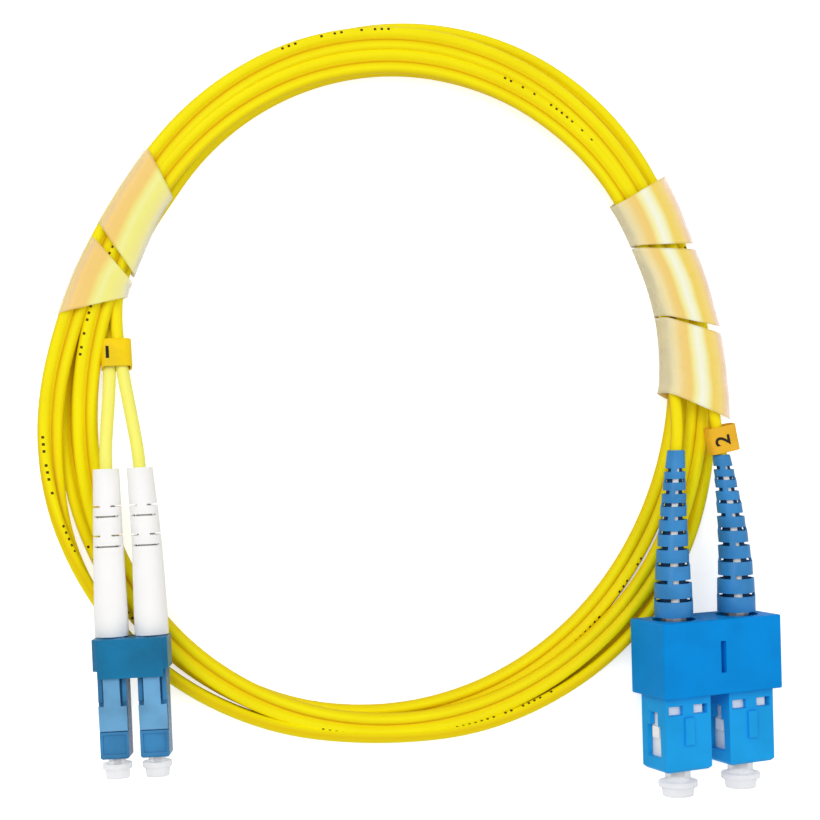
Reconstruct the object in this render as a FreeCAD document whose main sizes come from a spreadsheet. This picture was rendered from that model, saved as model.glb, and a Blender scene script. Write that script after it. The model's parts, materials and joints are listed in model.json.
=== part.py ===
import FreeCAD, Part
import math
import os
import Sketcher

# Fibre optic patch cord: a coiled two-fibre zip cord with a small-form duplex
# connector (lc) at one end and a large push-pull duplex connector (sc) at the other.
# It lies flat on a table. Millimetres, +Z up, +X to the right of the coil.
#
# Each connector is drawn in a frame of its own: x across the pair, y up through
# its thickness, z along the plug, with z = 0 at the rear face of the duplex clip
# and the nose at positive z.

SIZES = {
    # Cord: two round jackets side by side, joined by a thin web
    "jacket_diameter": 2.0,
    "jacket_spacing": 2.1,
    "web_thickness": 0.7,
    "buffer_diameter": 0.9,
    # Coil: two layers, wound outwards below and inwards above
    "coil_centre_x": -2.95,
    "coil_centre_y": 4.51,
    "coil_inner_half_width": 49.1,
    "coil_extra_half_height": 2.5,
    "coil_oval": 1.37,
    "coil_oval_tilt": 62.4,
    "coil_turn_step": 4.6,
    "coil_layer_step": 2.5,
    "coil_bottom": 0.56,
    "coil_start_angle": 150.0,
    "coil_end_angle": 24.0,
    "coil_whole_turns": 3,
    # Film wraps round the bundle
    "film_thickness": 0.25,
    "film_clearance": 0.6,
    "film_floor_clearance": 0.3,
    "film_corner": 1.2,
    "film_gap": 1.6,
    "right_film_rise": 3.4,
    # Number tags
    "tag_wall": 0.3,
    "tag_clearance": 0.15,
    "tag_height_clearance": 0.25,
    "tag_boot_gap": 0.3,
    "tag_length": 5.0,
    "tag_flag_width": 5.8,
    # Small-form duplex connector
    "lc_pitch": 6.25,
    "lc_housing_width": 4.5,
    "lc_housing_chamfer": 0.28,
    "lc_frame_rim": 0.5,
    "lc_frame_depth": 0.25,
    "lc_housing_rear": 0.6,
    "lc_nose": 19.5,
    "lc_rear_bore": 3.1,
    "lc_wall_rear": 14.5,
    "lc_wall_front": 15.5,
    "lc_front_bore": 3.0,
    "lc_channel_floor": 1.8,
    "lc_channel_width": 3.0,
    "lc_latch_root": 15.1,
    "lc_latch_end": 6.0,
    "lc_latch_wide_end": 11.2,
    "lc_latch_width": 4.4,
    "lc_latch_arm_width": 2.6,
    "lc_latch_thickness": 0.6,
    "lc_latch_root_height": 1.9,
    "lc_latch_rise": 0.85,
    "lc_bed_clearance": 0.6,
    "lc_clip_width": 11.7,
    "lc_clip_rear": 0.7,
    "lc_clip_corner": 0.8,
    "lc_clip_bottom": -3.0,
    "lc_clip_top": 4.0,
    "lc_clip_front": 5.6,
    "lc_clip_lip": 1.2,
    "lc_clip_lip_width": 10.2,
    "lc_clip_lip_thickness": 0.45,
    "lc_ferrule_diameter": 1.25,
    "lc_ferrule_chamfer": 0.12,
    "lc_ferrule_rear": 12.9,
    "lc_ferrule_tip": 20.7,
    "lc_flange_diameter": 2.8,
    "lc_flange_rear": 11.8,
    "lc_flange_front": 14.4,
    "lc_ferrule_travel": 0.7,
    "lc_spring_diameter": 2.2,
    "lc_spring_wire": 0.35,
    "lc_spring_turns": 4,
    "lc_body_diameter": 3.06,
    "lc_body_shoulder": 3.0,
    "lc_body_front": 6.9,
    "lc_stub_diameter": 2.5,
    "lc_stub_rear": -3.5,
    "lc_sleeve_diameter": 3.4,
    "lc_sleeve_front": 0.4,
    "lc_sleeve_neck_diameter": 2.8,
    "lc_sleeve_neck_length": 3.0,
    "lc_boot_length": 25.8,
    "lc_boot_front": 0.5,
    "lc_boot_base_diameter": 5.3,
    "lc_boot_tail_diameter": 4.1,
    "lc_boot_first_slot": 15.2,
    "lc_boot_slot_pitch": 1.9,
    "lc_boot_slot_growth": 0.0,
    "lc_boot_slots": 4,
    "lc_boot_slot_thickness": 0.5,
    "lc_cap_neck_diameter": 2.7,
    "lc_cap_neck_rear": 17.5,
    "lc_cap_flange_front": 21.2,
    "lc_cap_flange_diameter": 4.6,
    "lc_cap_flange_thickness": 0.9,
    "lc_cap_end_diameter": 3.9,
    "lc_cap_tip": 22.7,
    "lc_cap_tip_diameter": 3.6,
    # Push-pull duplex connector
    "sc_pitch": 12.7,
    "sc_grip_width": 9.0,
    "sc_grip_height": 7.4,
    "sc_grip_wall": 0.95,
    "sc_grip_rear": 1.6,
    "sc_nose": 25.0,
    "sc_nose_chamfer": 0.5,
    "sc_window_rear": 15.2,
    "sc_window_step": 17.4,
    "sc_window_front": 22.7,
    "sc_window_height": 3.9,
    "sc_window_neck": 2.3,
    "sc_port_rear": 14.0,
    "sc_port_length": 1.5,
    "sc_port_width": 2.7,
    "sc_port_offset": 2.45,
    "sc_key_width": 1.8,
    "sc_key_height": 0.5,
    "sc_key_rear": 16.0,
    "sc_key_length": 4.6,
    "sc_inner_clearance": 0.1,
    "sc_inner_rear": 4.5,
    "sc_inner_nose": 24.4,
    "sc_rear_bore": 4.4,
    "sc_wall_rear": 17.5,
    "sc_wall_front": 19.0,
    "sc_front_bore": 5.0,
    "sc_ramp_rear": 17.6,
    "sc_ramp_length": 1.9,
    "sc_ramp_width": 2.0,
    "sc_ramp_height": 0.7,
    "sc_clip_width": 23.5,
    "sc_clip_height": 10.4,
    "sc_clip_length": 12.5,
    "sc_clip_back": 1.5,
    "sc_clip_hole": 7.2,
    "sc_clip_slot_width": 0.9,
    "sc_clip_slot_rear": 3.6,
    "sc_clip_slot_length": 5.3,
    "sc_clip_slot_depth": 1.4,
    "sc_ferrule_diameter": 2.5,
    "sc_ferrule_chamfer": 0.25,
    "sc_ferrule_rear": 16.0,
    "sc_ferrule_tip": 26.5,
    "sc_flange_diameter": 4.0,
    "sc_flange_rear": 14.8,
    "sc_flange_front": 17.4,
    "sc_ferrule_travel": 1.0,
    "sc_spring_diameter": 3.3,
    "sc_spring_wire": 0.45,
    "sc_spring_turns": 5,
    "sc_body_diameter": 4.36,
    "sc_body_shoulder": 4.6,
    "sc_body_front": 7.6,
    "sc_stub_diameter": 3.4,
    "sc_stub_rear": -4.0,
    "sc_sleeve_diameter": 4.3,
    "sc_sleeve_front": 2.2,
    "sc_sleeve_neck_diameter": 2.8,
    "sc_sleeve_neck_length": 4.0,
    "sc_boot_length": 28.5,
    "sc_boot_front": -0.5,
    "sc_boot_base_diameter": 6.5,
    "sc_boot_tail_diameter": 2.95,
    "sc_boot_first_slot": 4.6,
    "sc_boot_slot_pitch": 3.1,
    "sc_boot_slot_growth": 0.16,
    "sc_boot_slots": 9,
    "sc_boot_slot_thickness": 0.9,
    "sc_cap_neck_diameter": 4.3,
    "sc_cap_neck_rear": 21.5,
    "sc_cap_flange_front": 28.0,
    "sc_cap_flange_diameter": 6.6,
    "sc_cap_flange_thickness": 0.9,
    "sc_cap_end_diameter": 5.6,
    "sc_cap_tip": 29.6,
    "sc_cap_tip_diameter": 5.15,
    # Fits
    "boot_rib_half": 0.55,
    "boot_collar": 3.2,
    "seat_gap": 0.03,
    "ferrule_seat_gap": 0.01,
    "cap_end_gap": 0.3,
    "running_gap": 0.05,
    "loose_gap": 0.15,
    "clip_gap": 0.03,
    "latch_gap": 0.15,
}

# Places of the connectors: middle of the clip's rear face, then the turns in
# degrees about the vertical (yaw), across (pitch, nose up) and along the plug (roll)
LC_PLACE = (-46.8, -34.9, 9.6)
LC_YAW, LC_PITCH, LC_ROLL = 2.4, 2.0, -11.0
SC_PLACE = (49.6, -35.0, 7.71)
SC_YAW, SC_PITCH, SC_ROLL = 1.5, 0.0, 13.0

# Hand-chosen points of the split ends, between the coil and the boots
LC_SPLIT_ROUTE = [(-48.75, 19.4, 1.6), (-48.1, 12.6, 2.2), (-47.85, 4.9, 5.0)]
LC_SPLIT_SPREAD = 0.36
SC_SPLIT_ROUTE = {
    1: [(43.9, 13.2, 4.7), (44.6, 5.8, 6.7)],
    2: [(46.2, 14.6, 5.6), (50.2, 7.5, 7.2)],
}
LEAD_FROM_COIL = {"lc": 3.0, "sc": 3.0}
LEAD_INTO_BOOT = {"lc": 4.0, "sc": 4.5}

# Film wraps: angles at the inner and the outer side of the ring, of both ends and of
# each slanted gap between
FILM_ENDS = {"left": ((139.6, 135.4), (161.0, 168.4)), "right": ((37.1, 36.3), (-0.6, -4.2))}
FILM_GAPS = {"left": [(159.0, 151.6)], "right": [(28.4, 24.4), (13.3, 8.3)]}
FILM_STEPS = 5
SWELL_START = 0.25
SWELL_LENGTH = 0.5

# Flats round the small turned pieces, and straight runs in a turn of a plug's spring
ROUND_SIDES = 10
SMALL_SIDES = 8
HOLE_SIDES = 16
SPRING_RUNS = 8

# Share of the shorter run that a corner's arc takes up, on each side of the corner
CORNER_SHARE = 0.45

doc = FreeCAD.newDocument("patch_cord")
sheet = doc.addObject("Spreadsheet::Sheet", "Sizes")
Vector = FreeCAD.Vector


class Size:
    """A number together with the sheet expression that gives it."""

    def __init__(self, value, text):
        self.value = value
        self.text = text

    def joined(self, sign, other, value):
        return Size(value, "({} {} {})".format(self.text, sign, other.text))

    def __add__(self, other):
        other = as_size(other)
        return self.joined("+", other, self.value + other.value)

    def __sub__(self, other):
        other = as_size(other)
        return self.joined("-", other, self.value - other.value)

    def __mul__(self, other):
        other = as_size(other)
        return self.joined("*", other, self.value * other.value)

    def __truediv__(self, other):
        other = as_size(other)
        return self.joined("/", other, self.value / other.value)

    def __neg__(self):
        return Size(-self.value, "(0 - {})".format(self.text))


def as_size(number):
    """A plain number as a Size, and a Size as itself."""
    return number if isinstance(number, Size) else Size(float(number), repr(float(number)))


ZERO = as_size(0)
named = {}
for row, (alias, value) in enumerate(SIZES.items(), start=1):
    sheet.set("A{}".format(row), alias)
    sheet.set("B{}".format(row), str(value))
    sheet.setAlias("B{}".format(row), alias)
    named[alias] = Size(float(value), "Sizes." + alias)
doc.recompute()


def size(name):
    """The Size with this name."""
    return named[name]


def bind(thing, field, amount):
    """Ties a property to the sheet."""
    thing.setExpression(field, as_size(amount).text)


# Sketches and features

def new_body(label):
    body = doc.addObject("PartDesign::Body", label)
    body.Label = label
    return body


def sketch_on(body, role, offset=ZERO):
    """An empty sketch on one of the body's own planes, moved along its normal."""
    plane = next(f for f in body.Origin.OriginFeatures if f.Role == role)
    sketch = body.newObject("Sketcher::SketchObject", body.Label + "_sketch")
    sketch.AttachmentSupport = [(plane, "")]
    sketch.MapMode = "FlatFace"
    bind(sketch, "AttachmentOffset.Base.z", offset)
    return sketch


def pin(sketch, geometry, point, across, up):
    """Holds a point of the sketch at a place given by two sizes."""
    for kind, amount in (("DistanceX", as_size(across)), ("DistanceY", as_size(up))):
        constraint = Sketcher.Constraint(kind, -1, 1, geometry, point, amount.value)
        index = sketch.addConstraint(constraint)
        bind(sketch, "Constraints[{}]".format(index), amount)


def add_outline(sketch, points):
    """A closed outline of straight lines through points given as sizes."""
    points = [(as_size(across), as_size(up)) for across, up in points]
    first = sketch.GeometryCount
    for here, there in zip(points, points[1:] + points[:1]):
        start = Vector(here[0].value, here[1].value, 0)
        end = Vector(there[0].value, there[1].value, 0)
        sketch.addGeometry(Part.LineSegment(start, end), False)
    for number, (across, up) in enumerate(points):
        before = first + (number - 1) % len(points)
        sketch.addConstraint(Sketcher.Constraint("Coincident", before, 2, first + number, 1))
        pin(sketch, first + number, 1, across, up)


def add_rectangle(sketch, left, right, low, high):
    add_outline(sketch, [(left, low), (right, low), (right, high), (left, high)])


def add_polygon(sketch, diameter, sides, across=ZERO, around=False):
    """An even polygon with its corners on a circle, or with its flats outside it."""
    radius = as_size(diameter) / 2
    if around:
        radius = radius / math.cos(math.pi / sides)
    angles = [math.pi * (2 * side + 1) / sides for side in range(sides)]
    add_outline(sketch, [(radius * math.cos(angle) + across, radius * math.sin(angle)) for angle in angles])


def pad(body, sketch, length):
    feature = body.newObject("PartDesign::Pad", body.Label + "_pad")
    feature.Profile = sketch
    bind(feature, "Length", length)
    return feature


def pad_both_ways(body, sketch, width):
    feature = pad(body, sketch, width)
    feature.Midplane = True
    return feature


def pocket(body, sketch, depth, forwards=False):
    """A pocket that runs against the sketch's normal, or along it."""
    feature = body.newObject("PartDesign::Pocket", body.Label + "_pocket")
    feature.Profile = sketch
    feature.Reversed = forwards
    bind(feature, "Length", depth)
    return feature


def pocket_through(body, sketch):
    feature = body.newObject("PartDesign::Pocket", body.Label + "_through")
    feature.Profile = sketch
    feature.Midplane = True
    feature.Type = "ThroughAll"
    return feature


def prism(body, diameter, sides, rear, front):
    """A straight length of a many-sided piece, between two heights."""
    sketch = sketch_on(body, "XY_Plane", rear)
    add_polygon(sketch, diameter, sides)
    return pad(body, sketch, front - rear)


def taper(body, sides, rear_diameter, rear, front_diameter, front):
    """A many-sided piece that narrows or widens between two heights."""
    sketches = []
    for diameter, height in ((rear_diameter, rear), (front_diameter, front)):
        sketch = sketch_on(body, "XY_Plane", height)
        add_polygon(sketch, diameter, sides)
        sketches.append(sketch)
    feature = body.newObject("PartDesign::AdditiveLoft", body.Label + "_taper")
    feature.Profile = sketches[0]
    feature.Sections = [sketches[1]]
    feature.Ruled = True
    return feature


def bore(body, diameter, sides, rear, front):
    """A many-sided bore round a circle, between two heights."""
    sketch = sketch_on(body, "XY_Plane", rear)
    add_polygon(sketch, diameter, sides, around=True)
    return pocket(body, sketch, front - rear, forwards=True)


def bore_through(body, diameter, sides):
    """A many-sided bore round a circle, through the whole piece."""
    sketch = sketch_on(body, "XY_Plane")
    add_polygon(sketch, diameter, sides, around=True)
    return pocket_through(body, sketch)


def revolve(body, points):
    """A round piece from a half outline of (radius, z) points."""
    sketch = sketch_on(body, "XZ_Plane")
    add_outline(sketch, points)
    feature = body.newObject("PartDesign::Revolution", body.Label + "_turned")
    feature.Profile = sketch
    feature.ReferenceAxis = (sketch, ["V_Axis"])
    feature.Angle = 360
    return feature


def chamfer_nose(body, feature, height, amount):
    """Breaks the outer edges that lie in the plane z = height."""
    doc.recompute()
    box = feature.Shape.BoundBox
    names = []
    for number, edge in enumerate(feature.Shape.Edges, start=1):
        level = abs(edge.BoundBox.ZMin - height.value) + abs(edge.BoundBox.ZMax - height.value)
        reach = max(abs(edge.BoundBox.XMax), abs(edge.BoundBox.XMin)) - box.XMax
        rise = max(abs(edge.BoundBox.YMax), abs(edge.BoundBox.YMin)) - box.YMax
        if level < 1e-4 and (abs(reach) < 1e-4 or abs(rise) < 1e-4):
            names.append("Edge{}".format(number))
    chamfer = body.newObject("PartDesign::Chamfer", body.Label + "_chamfer")
    chamfer.Base = (feature, names)
    bind(chamfer, "Size", amount)
    return chamfer


# Places

def rotation(axis, degrees):
    return FreeCAD.Rotation(axis, degrees)


def unit_frame(place, yaw, pitch, roll):
    """The frame of a connector: its z points to the nose, its y up."""
    lie_down = rotation(Vector(1, 0, 0), 90)
    turn = rotation(Vector(0, 0, 1), yaw)
    tip = rotation(Vector(1, 0, 0), -pitch)
    lean = rotation(Vector(0, 1, 0), roll)
    return FreeCAD.Placement(Vector(*place), turn * tip * lean * lie_down)


LC_FRAME = unit_frame(LC_PLACE, LC_YAW, LC_PITCH, LC_ROLL)
SC_FRAME = unit_frame(SC_PLACE, SC_YAW, SC_PITCH, SC_ROLL)
FRAMES = {"lc": LC_FRAME, "sc": SC_FRAME}


def side_offset(kind, number):
    """Where plug 1 or 2 of a pair lies across the connector."""
    half = size(kind + "_pitch").value / 2
    return -half if number == 1 else half


def plug_frame(kind, number, along=0.0):
    """The frame of one plug, moved along its own axis."""
    shift = FreeCAD.Placement(Vector(side_offset(kind, number), 0, along), FreeCAD.Rotation())
    return FRAMES[kind].multiply(shift)


pieces = []
connector_pieces = []


def keep(piece, placement, on_connector=True):
    """Puts a finished piece in its place and adds it to the model."""
    piece.Placement = placement
    pieces.append(piece)
    if on_connector:
        connector_pieces.append(piece)
    return piece


# Pieces that both connectors have

def make_ferrule(kind, number):
    radius = size(kind + "_ferrule_diameter") / 2
    rear = size(kind + "_ferrule_rear")
    tip = size(kind + "_ferrule_tip")
    chamfer = size(kind + "_ferrule_chamfer")
    body = new_body("{}_ferrule_{}".format(kind, number))
    revolve(body, [(0, rear), (radius, rear), (radius, tip - chamfer), (radius - chamfer, tip), (0, tip)])
    keep(body, plug_frame(kind, number))


def make_flange(kind, number):
    """The metal collar that the ferrule is pressed into."""
    rear = size(kind + "_flange_rear")
    front = size(kind + "_flange_front")
    step = size(kind + "_ferrule_rear")
    body = new_body("{}_ferrule_flange_{}".format(kind, number))
    prism(body, size(kind + "_flange_diameter"), SMALL_SIDES, rear, front)
    bore_through(body, size("buffer_diameter") + size("running_gap") * 2, SMALL_SIDES)
    bore(body, size(kind + "_ferrule_diameter") + size("ferrule_seat_gap") * 2, SMALL_SIDES, step, front)
    keep(body, plug_frame(kind, number))


def make_rear_body(kind, number):
    """The metal body behind the spring, with the stub that the sleeve is crimped on."""
    shoulder = size(kind + "_body_shoulder")
    body = new_body("{}_rear_body_{}".format(kind, number))
    prism(body, size(kind + "_stub_diameter"), SMALL_SIDES, size(kind + "_stub_rear"), shoulder)
    prism(body, size(kind + "_body_diameter"), SMALL_SIDES, shoulder, size(kind + "_body_front"))
    bore_through(body, size("buffer_diameter") + size("loose_gap") * 2, SMALL_SIDES)
    keep(body, plug_frame(kind, number))


def make_crimp_sleeve(kind, number):
    """The sleeve over the stub, necked down to grip the jacket."""
    stub = size(kind + "_stub_diameter") + size("seat_gap") * 2
    step = size(kind + "_stub_rear")
    shoulder = step - (size(kind + "_sleeve_diameter") - stub) / 2
    rear = step - size(kind + "_sleeve_neck_length")
    front = size(kind + "_sleeve_front")
    body = new_body("{}_crimp_sleeve_{}".format(kind, number))
    prism(body, size(kind + "_sleeve_diameter"), ROUND_SIDES, shoulder, front)
    prism(body, size(kind + "_sleeve_neck_diameter"), ROUND_SIDES, rear, shoulder)
    bore_through(body, size("jacket_diameter") + size("seat_gap") * 2, SMALL_SIDES)
    bore(body, stub, SMALL_SIDES, step, front)
    keep(body, plug_frame(kind, number))


def make_buffer(kind, number):
    """The buffered fibre from the jacket's end into the flange, short of the ferrule's travel."""
    body = new_body("{}_buffered_fibre_{}".format(kind, number))
    rear = size(kind + "_stub_rear")
    tip = size(kind + "_ferrule_rear") - size(kind + "_ferrule_travel") - size("running_gap")
    prism(body, size("buffer_diameter"), SMALL_SIDES, rear, tip)
    keep(body, plug_frame(kind, number))


def slot_stations(kind):
    """Distances of the boot's slots behind the rear face of the clip."""
    station = size(kind + "_boot_first_slot")
    pitch = size(kind + "_boot_slot_pitch")
    stations = []
    for step in range(int(size(kind + "_boot_slots").value)):
        stations.append(station)
        station = station + pitch
        pitch = pitch - size(kind + "_boot_slot_growth")
    return stations


def make_boot(kind, number):
    """The bend relief: a tapered rubber tube cut by slots that alternate by a quarter turn."""
    base = size(kind + "_boot_base_diameter")
    front = size(kind + "_boot_front")
    rear = -size(kind + "_boot_length")
    collar = front - size("boot_collar")
    step = size(kind + "_stub_rear") - size(kind + "_sleeve_neck_length") - size("loose_gap")
    body = new_body("{}_boot_{}".format(kind, number))
    prism(body, base, ROUND_SIDES, collar, front)
    taper(body, ROUND_SIDES, size(kind + "_boot_tail_diameter"), rear, base, collar)
    bore_through(body, size("jacket_diameter") + size("loose_gap") * 2, SMALL_SIDES)
    bore(body, size(kind + "_sleeve_diameter") + size("seat_gap") * 2, ROUND_SIDES, step, front)
    half = size(kind + "_boot_slot_thickness") / 2
    rib = size("boot_rib_half")
    beyond = base
    for role, first in (("YZ_Plane", 0), ("XZ_Plane", 1)):
        sketch = sketch_on(body, role)
        for station in slot_stations(kind)[first::2]:
            low = -station - half
            high = half - station
            add_rectangle(sketch, rib, beyond, low, high)
            add_rectangle(sketch, -beyond, -rib, low, high)
        pocket_through(body, sketch)
    keep(body, plug_frame(kind, number))


def make_dust_cap(kind, number):
    """The translucent cap over the ferrule, a thin neck with a flange and a blunt end."""
    rear = size(kind + "_cap_neck_rear")
    flange_front = size(kind + "_cap_flange_front")
    flange_rear = flange_front - size(kind + "_cap_flange_thickness")
    tip = size(kind + "_cap_tip")
    body = new_body("{}_dust_cap_{}".format(kind, number))
    prism(body, size(kind + "_cap_neck_diameter"), ROUND_SIDES, rear, flange_rear)
    prism(body, size(kind + "_cap_flange_diameter"), ROUND_SIDES, flange_rear, flange_front)
    taper(body, ROUND_SIDES, size(kind + "_cap_end_diameter"), flange_front, size(kind + "_cap_tip_diameter"), tip)
    depth = size(kind + "_ferrule_tip") + size("cap_end_gap")
    bore(body, size(kind + "_ferrule_diameter") + size("loose_gap") * 2, SMALL_SIDES, rear, depth)
    keep(body, plug_frame(kind, number))


# Small-form connector

def make_lc_housing(number):
    """The square plug body with a stepped bore and an open bed for its latch."""
    half = size("lc_housing_width") / 2
    rear, nose = size("lc_housing_rear"), size("lc_nose")
    floor = size("lc_channel_floor")
    body = new_body("lc_housing_{}".format(number))
    sketch = sketch_on(body, "XY_Plane", rear)
    add_rectangle(sketch, -half, half, -half, half)
    chamfer_nose(body, pad(body, sketch, nose - rear), nose, size("lc_housing_chamfer"))
    bore(body, size("lc_rear_bore"), ROUND_SIDES, rear, size("lc_wall_rear"))
    bore(body, size("lc_front_bore"), ROUND_SIDES, size("lc_wall_front"), nose)
    bore_through(body, size("lc_ferrule_diameter") + size("running_gap") * 2, SMALL_SIDES)

    channel = size("lc_channel_width") / 2
    bed_front = size("lc_latch_root") + size("latch_gap")
    bed_rear = size("lc_latch_wide_end") - size("lc_bed_clearance")
    beyond = size("lc_housing_width")
    sketch = sketch_on(body, "XZ_Plane", -floor)
    add_outline(sketch, [(-beyond, bed_rear), (-channel, bed_rear), (-channel, size("lc_clip_front")),
                         (channel, size("lc_clip_front")), (channel, bed_rear), (beyond, bed_rear),
                         (beyond, bed_front), (-beyond, bed_front)])
    pocket(body, sketch, beyond)

    rim = size("lc_frame_rim")
    sketch = sketch_on(body, "XZ_Plane", size("lc_frame_depth") - half)
    add_rectangle(sketch, rim - half, half - rim, bed_front + rim, nose - rim - size("lc_housing_chamfer"))
    pocket(body, sketch, beyond)
    keep(body, plug_frame("lc", number))


def make_lc_latch(number):
    """The sprung latch arm: wide at its root, narrow to its free end, rising to the rear."""
    root, end = size("lc_latch_root"), size("lc_latch_end")
    low = size("lc_latch_root_height")
    thick = size("lc_latch_thickness")
    rise = size("lc_latch_rise")
    body = new_body("lc_latch_{}".format(number))
    sketch = sketch_on(body, "YZ_Plane")
    add_outline(sketch, [(low, root), (low + thick, root), (low + rise + thick, end), (low + rise, end)])
    pad_both_ways(body, sketch, size("lc_latch_width"))
    arm = size("lc_latch_arm_width") / 2
    side = size("lc_latch_width")
    sketch = sketch_on(body, "XZ_Plane")
    add_rectangle(sketch, arm, side, end - side, size("lc_latch_wide_end"))
    add_rectangle(sketch, -side, -arm, end - side, size("lc_latch_wide_end"))
    pocket_through(body, sketch)
    keep(body, plug_frame("lc", number))


def make_lc_clip():
    """The duplex clip round both plug bodies, with a lip over the latch ends."""
    half = size("lc_clip_width") / 2
    low, high = size("lc_clip_bottom"), size("lc_clip_top")
    rear, front = size("lc_clip_rear"), size("lc_clip_front")
    body = new_body("lc_duplex_clip")
    sketch = sketch_on(body, "XY_Plane", rear)
    corner = size("lc_clip_corner")
    add_outline(sketch, [(-half, low + corner), (corner - half, low), (half - corner, low), (half, low + corner),
                         (half, high - corner), (half - corner, high), (corner - half, high), (-half, high - corner)])
    pad(body, sketch, front - rear)
    lip = size("lc_clip_lip_width") / 2
    sketch = sketch_on(body, "XY_Plane", rear)
    add_rectangle(sketch, -lip, lip, high - size("lc_clip_lip_thickness"), high)
    pad(body, sketch, front - rear + size("lc_clip_lip"))
    hole = size("lc_housing_width") / 2 + size("clip_gap")
    sketch = sketch_on(body, "XY_Plane")
    for side in (-1, 1):
        middle = size("lc_pitch") / 2 * side
        add_rectangle(sketch, middle - hole, middle + hole, -hole, hole)
    pocket_through(body, sketch)
    keep(body, LC_FRAME)


# Push-pull connector

def make_sc_grip(number):
    """The sliding outer shell, open along its bore, with side windows, top ports and a key."""
    half_width = size("sc_grip_width") / 2
    half_height = size("sc_grip_height") / 2
    rear, nose = size("sc_grip_rear"), size("sc_nose")
    body = new_body("sc_grip_{}".format(number))
    sketch = sketch_on(body, "XY_Plane", rear)
    add_rectangle(sketch, -half_width, half_width, -half_height, half_height)
    chamfer_nose(body, pad(body, sketch, nose - rear), nose, size("sc_nose_chamfer"))

    key = size("sc_key_width") / 2
    sketch = sketch_on(body, "XY_Plane", size("sc_key_rear"))
    add_rectangle(sketch, -key, key, 0, half_height + size("sc_key_height"))
    pad(body, sketch, size("sc_key_length"))

    inner_width = half_width - size("sc_grip_wall")
    inner_height = half_height - size("sc_grip_wall")
    sketch = sketch_on(body, "XY_Plane")
    add_rectangle(sketch, -inner_width, inner_width, -inner_height, inner_height)
    pocket_through(body, sketch)

    neck = size("sc_window_neck") / 2
    window = size("sc_window_height") / 2
    back, step, front = size("sc_window_rear"), size("sc_window_step"), size("sc_window_front")
    sketch = sketch_on(body, "YZ_Plane")
    add_outline(sketch, [(-neck, back), (neck, back), (neck, step), (window, step),
                         (window, front), (-window, front), (-window, step), (-neck, step)])
    pocket_through(body, sketch)

    port = size("sc_port_width") / 2
    sketch = sketch_on(body, "XZ_Plane")
    for side in (-1, 1):
        middle = size("sc_port_offset") * side
        add_rectangle(sketch, middle - port, middle + port, size("sc_port_rear"),
                      size("sc_port_rear") + size("sc_port_length"))
    pocket(body, sketch, size("sc_grip_height"))
    keep(body, plug_frame("sc", number))


def make_sc_inner_body(number):
    """The white plug body inside the shell, with its latch ramps and stepped bore."""
    gap = size("sc_grip_wall") + size("sc_inner_clearance")
    half_width = size("sc_grip_width") / 2 - gap
    half_height = size("sc_grip_height") / 2 - gap
    rear, nose = size("sc_inner_rear"), size("sc_inner_nose")
    body = new_body("sc_inner_body_{}".format(number))
    sketch = sketch_on(body, "XY_Plane", rear)
    add_rectangle(sketch, -half_width, half_width, -half_height, half_height)
    pad(body, sketch, nose - rear)
    ramp = half_width + size("sc_ramp_height")
    sketch = sketch_on(body, "XY_Plane", size("sc_ramp_rear"))
    add_rectangle(sketch, -ramp, ramp, -size("sc_ramp_width") / 2, size("sc_ramp_width") / 2)
    pad(body, sketch, size("sc_ramp_length"))
    bore(body, size("sc_rear_bore"), ROUND_SIDES, rear, size("sc_wall_rear"))
    bore(body, size("sc_front_bore"), ROUND_SIDES, size("sc_wall_front"), nose)
    bore_through(body, size("sc_ferrule_diameter") + size("running_gap") * 2, ROUND_SIDES)
    keep(body, plug_frame("sc", number))


def make_sc_clip():
    """The duplex clip that joins both shells, open at its front, with holes for the boots."""
    half = size("sc_clip_width") / 2
    half_height = size("sc_clip_height") / 2
    length, back = size("sc_clip_length"), size("sc_clip_back")
    body = new_body("sc_duplex_clip")
    sketch = sketch_on(body, "XY_Plane")
    add_rectangle(sketch, -half, half, -half_height, half_height)
    pad(body, sketch, length)
    pocket_width = size("sc_grip_width") / 2 + size("clip_gap")
    pocket_height = size("sc_grip_height") / 2 + size("clip_gap")
    front_cuts = sketch_on(body, "XY_Plane", length)
    holes = sketch_on(body, "XY_Plane")
    for side in (-1, 1):
        middle = size("sc_pitch") / 2 * side
        add_rectangle(front_cuts, middle - pocket_width, middle + pocket_width, -pocket_height, pocket_height)
        add_polygon(holes, size("sc_clip_hole"), HOLE_SIDES, middle, around=True)
    pocket(body, front_cuts, length - back)
    pocket_through(body, holes)
    slot = size("sc_clip_slot_width") / 2
    sketch = sketch_on(body, "XZ_Plane", size("sc_clip_slot_depth") - half_height)
    add_rectangle(sketch, -slot, slot, size("sc_clip_slot_rear"),
                  size("sc_clip_slot_rear") + size("sc_clip_slot_length"))
    pocket(body, sketch, size("sc_clip_height"))
    keep(body, SC_FRAME)


# Curved paths

def unit(vector):
    return vector / vector.Length


def arc_from(start, heading, end):
    """The arc that leaves start along heading and reaches end."""
    chord = end - start
    along = unit(chord)
    aside = heading - along * heading.dot(along)
    if aside.Length < 1e-7:
        return Part.LineSegment(start, end).toShape()
    half_turn = math.acos(max(-1.0, min(1.0, heading.dot(along))))
    middle = (start + end) / 2 + unit(aside) * (chord.Length / 2 * math.tan(half_turn / 2))
    return Part.Arc(start, middle, end).toShape()


def biarc(start, heading, end, arrival):
    """Two tangent arcs from a point and direction to another point and direction."""
    chord = end - start
    both = heading + arrival
    bend = 2 * (1 - heading.dot(arrival))
    reach = (-chord.dot(both) + math.sqrt(chord.dot(both) ** 2 + bend * chord.dot(chord))) / bend
    knee = start + heading * reach
    elbow = end - arrival * reach
    joint = (knee + elbow) / 2
    return [arc_from(start, heading, joint), arc_from(joint, unit(elbow - knee), end)]


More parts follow.
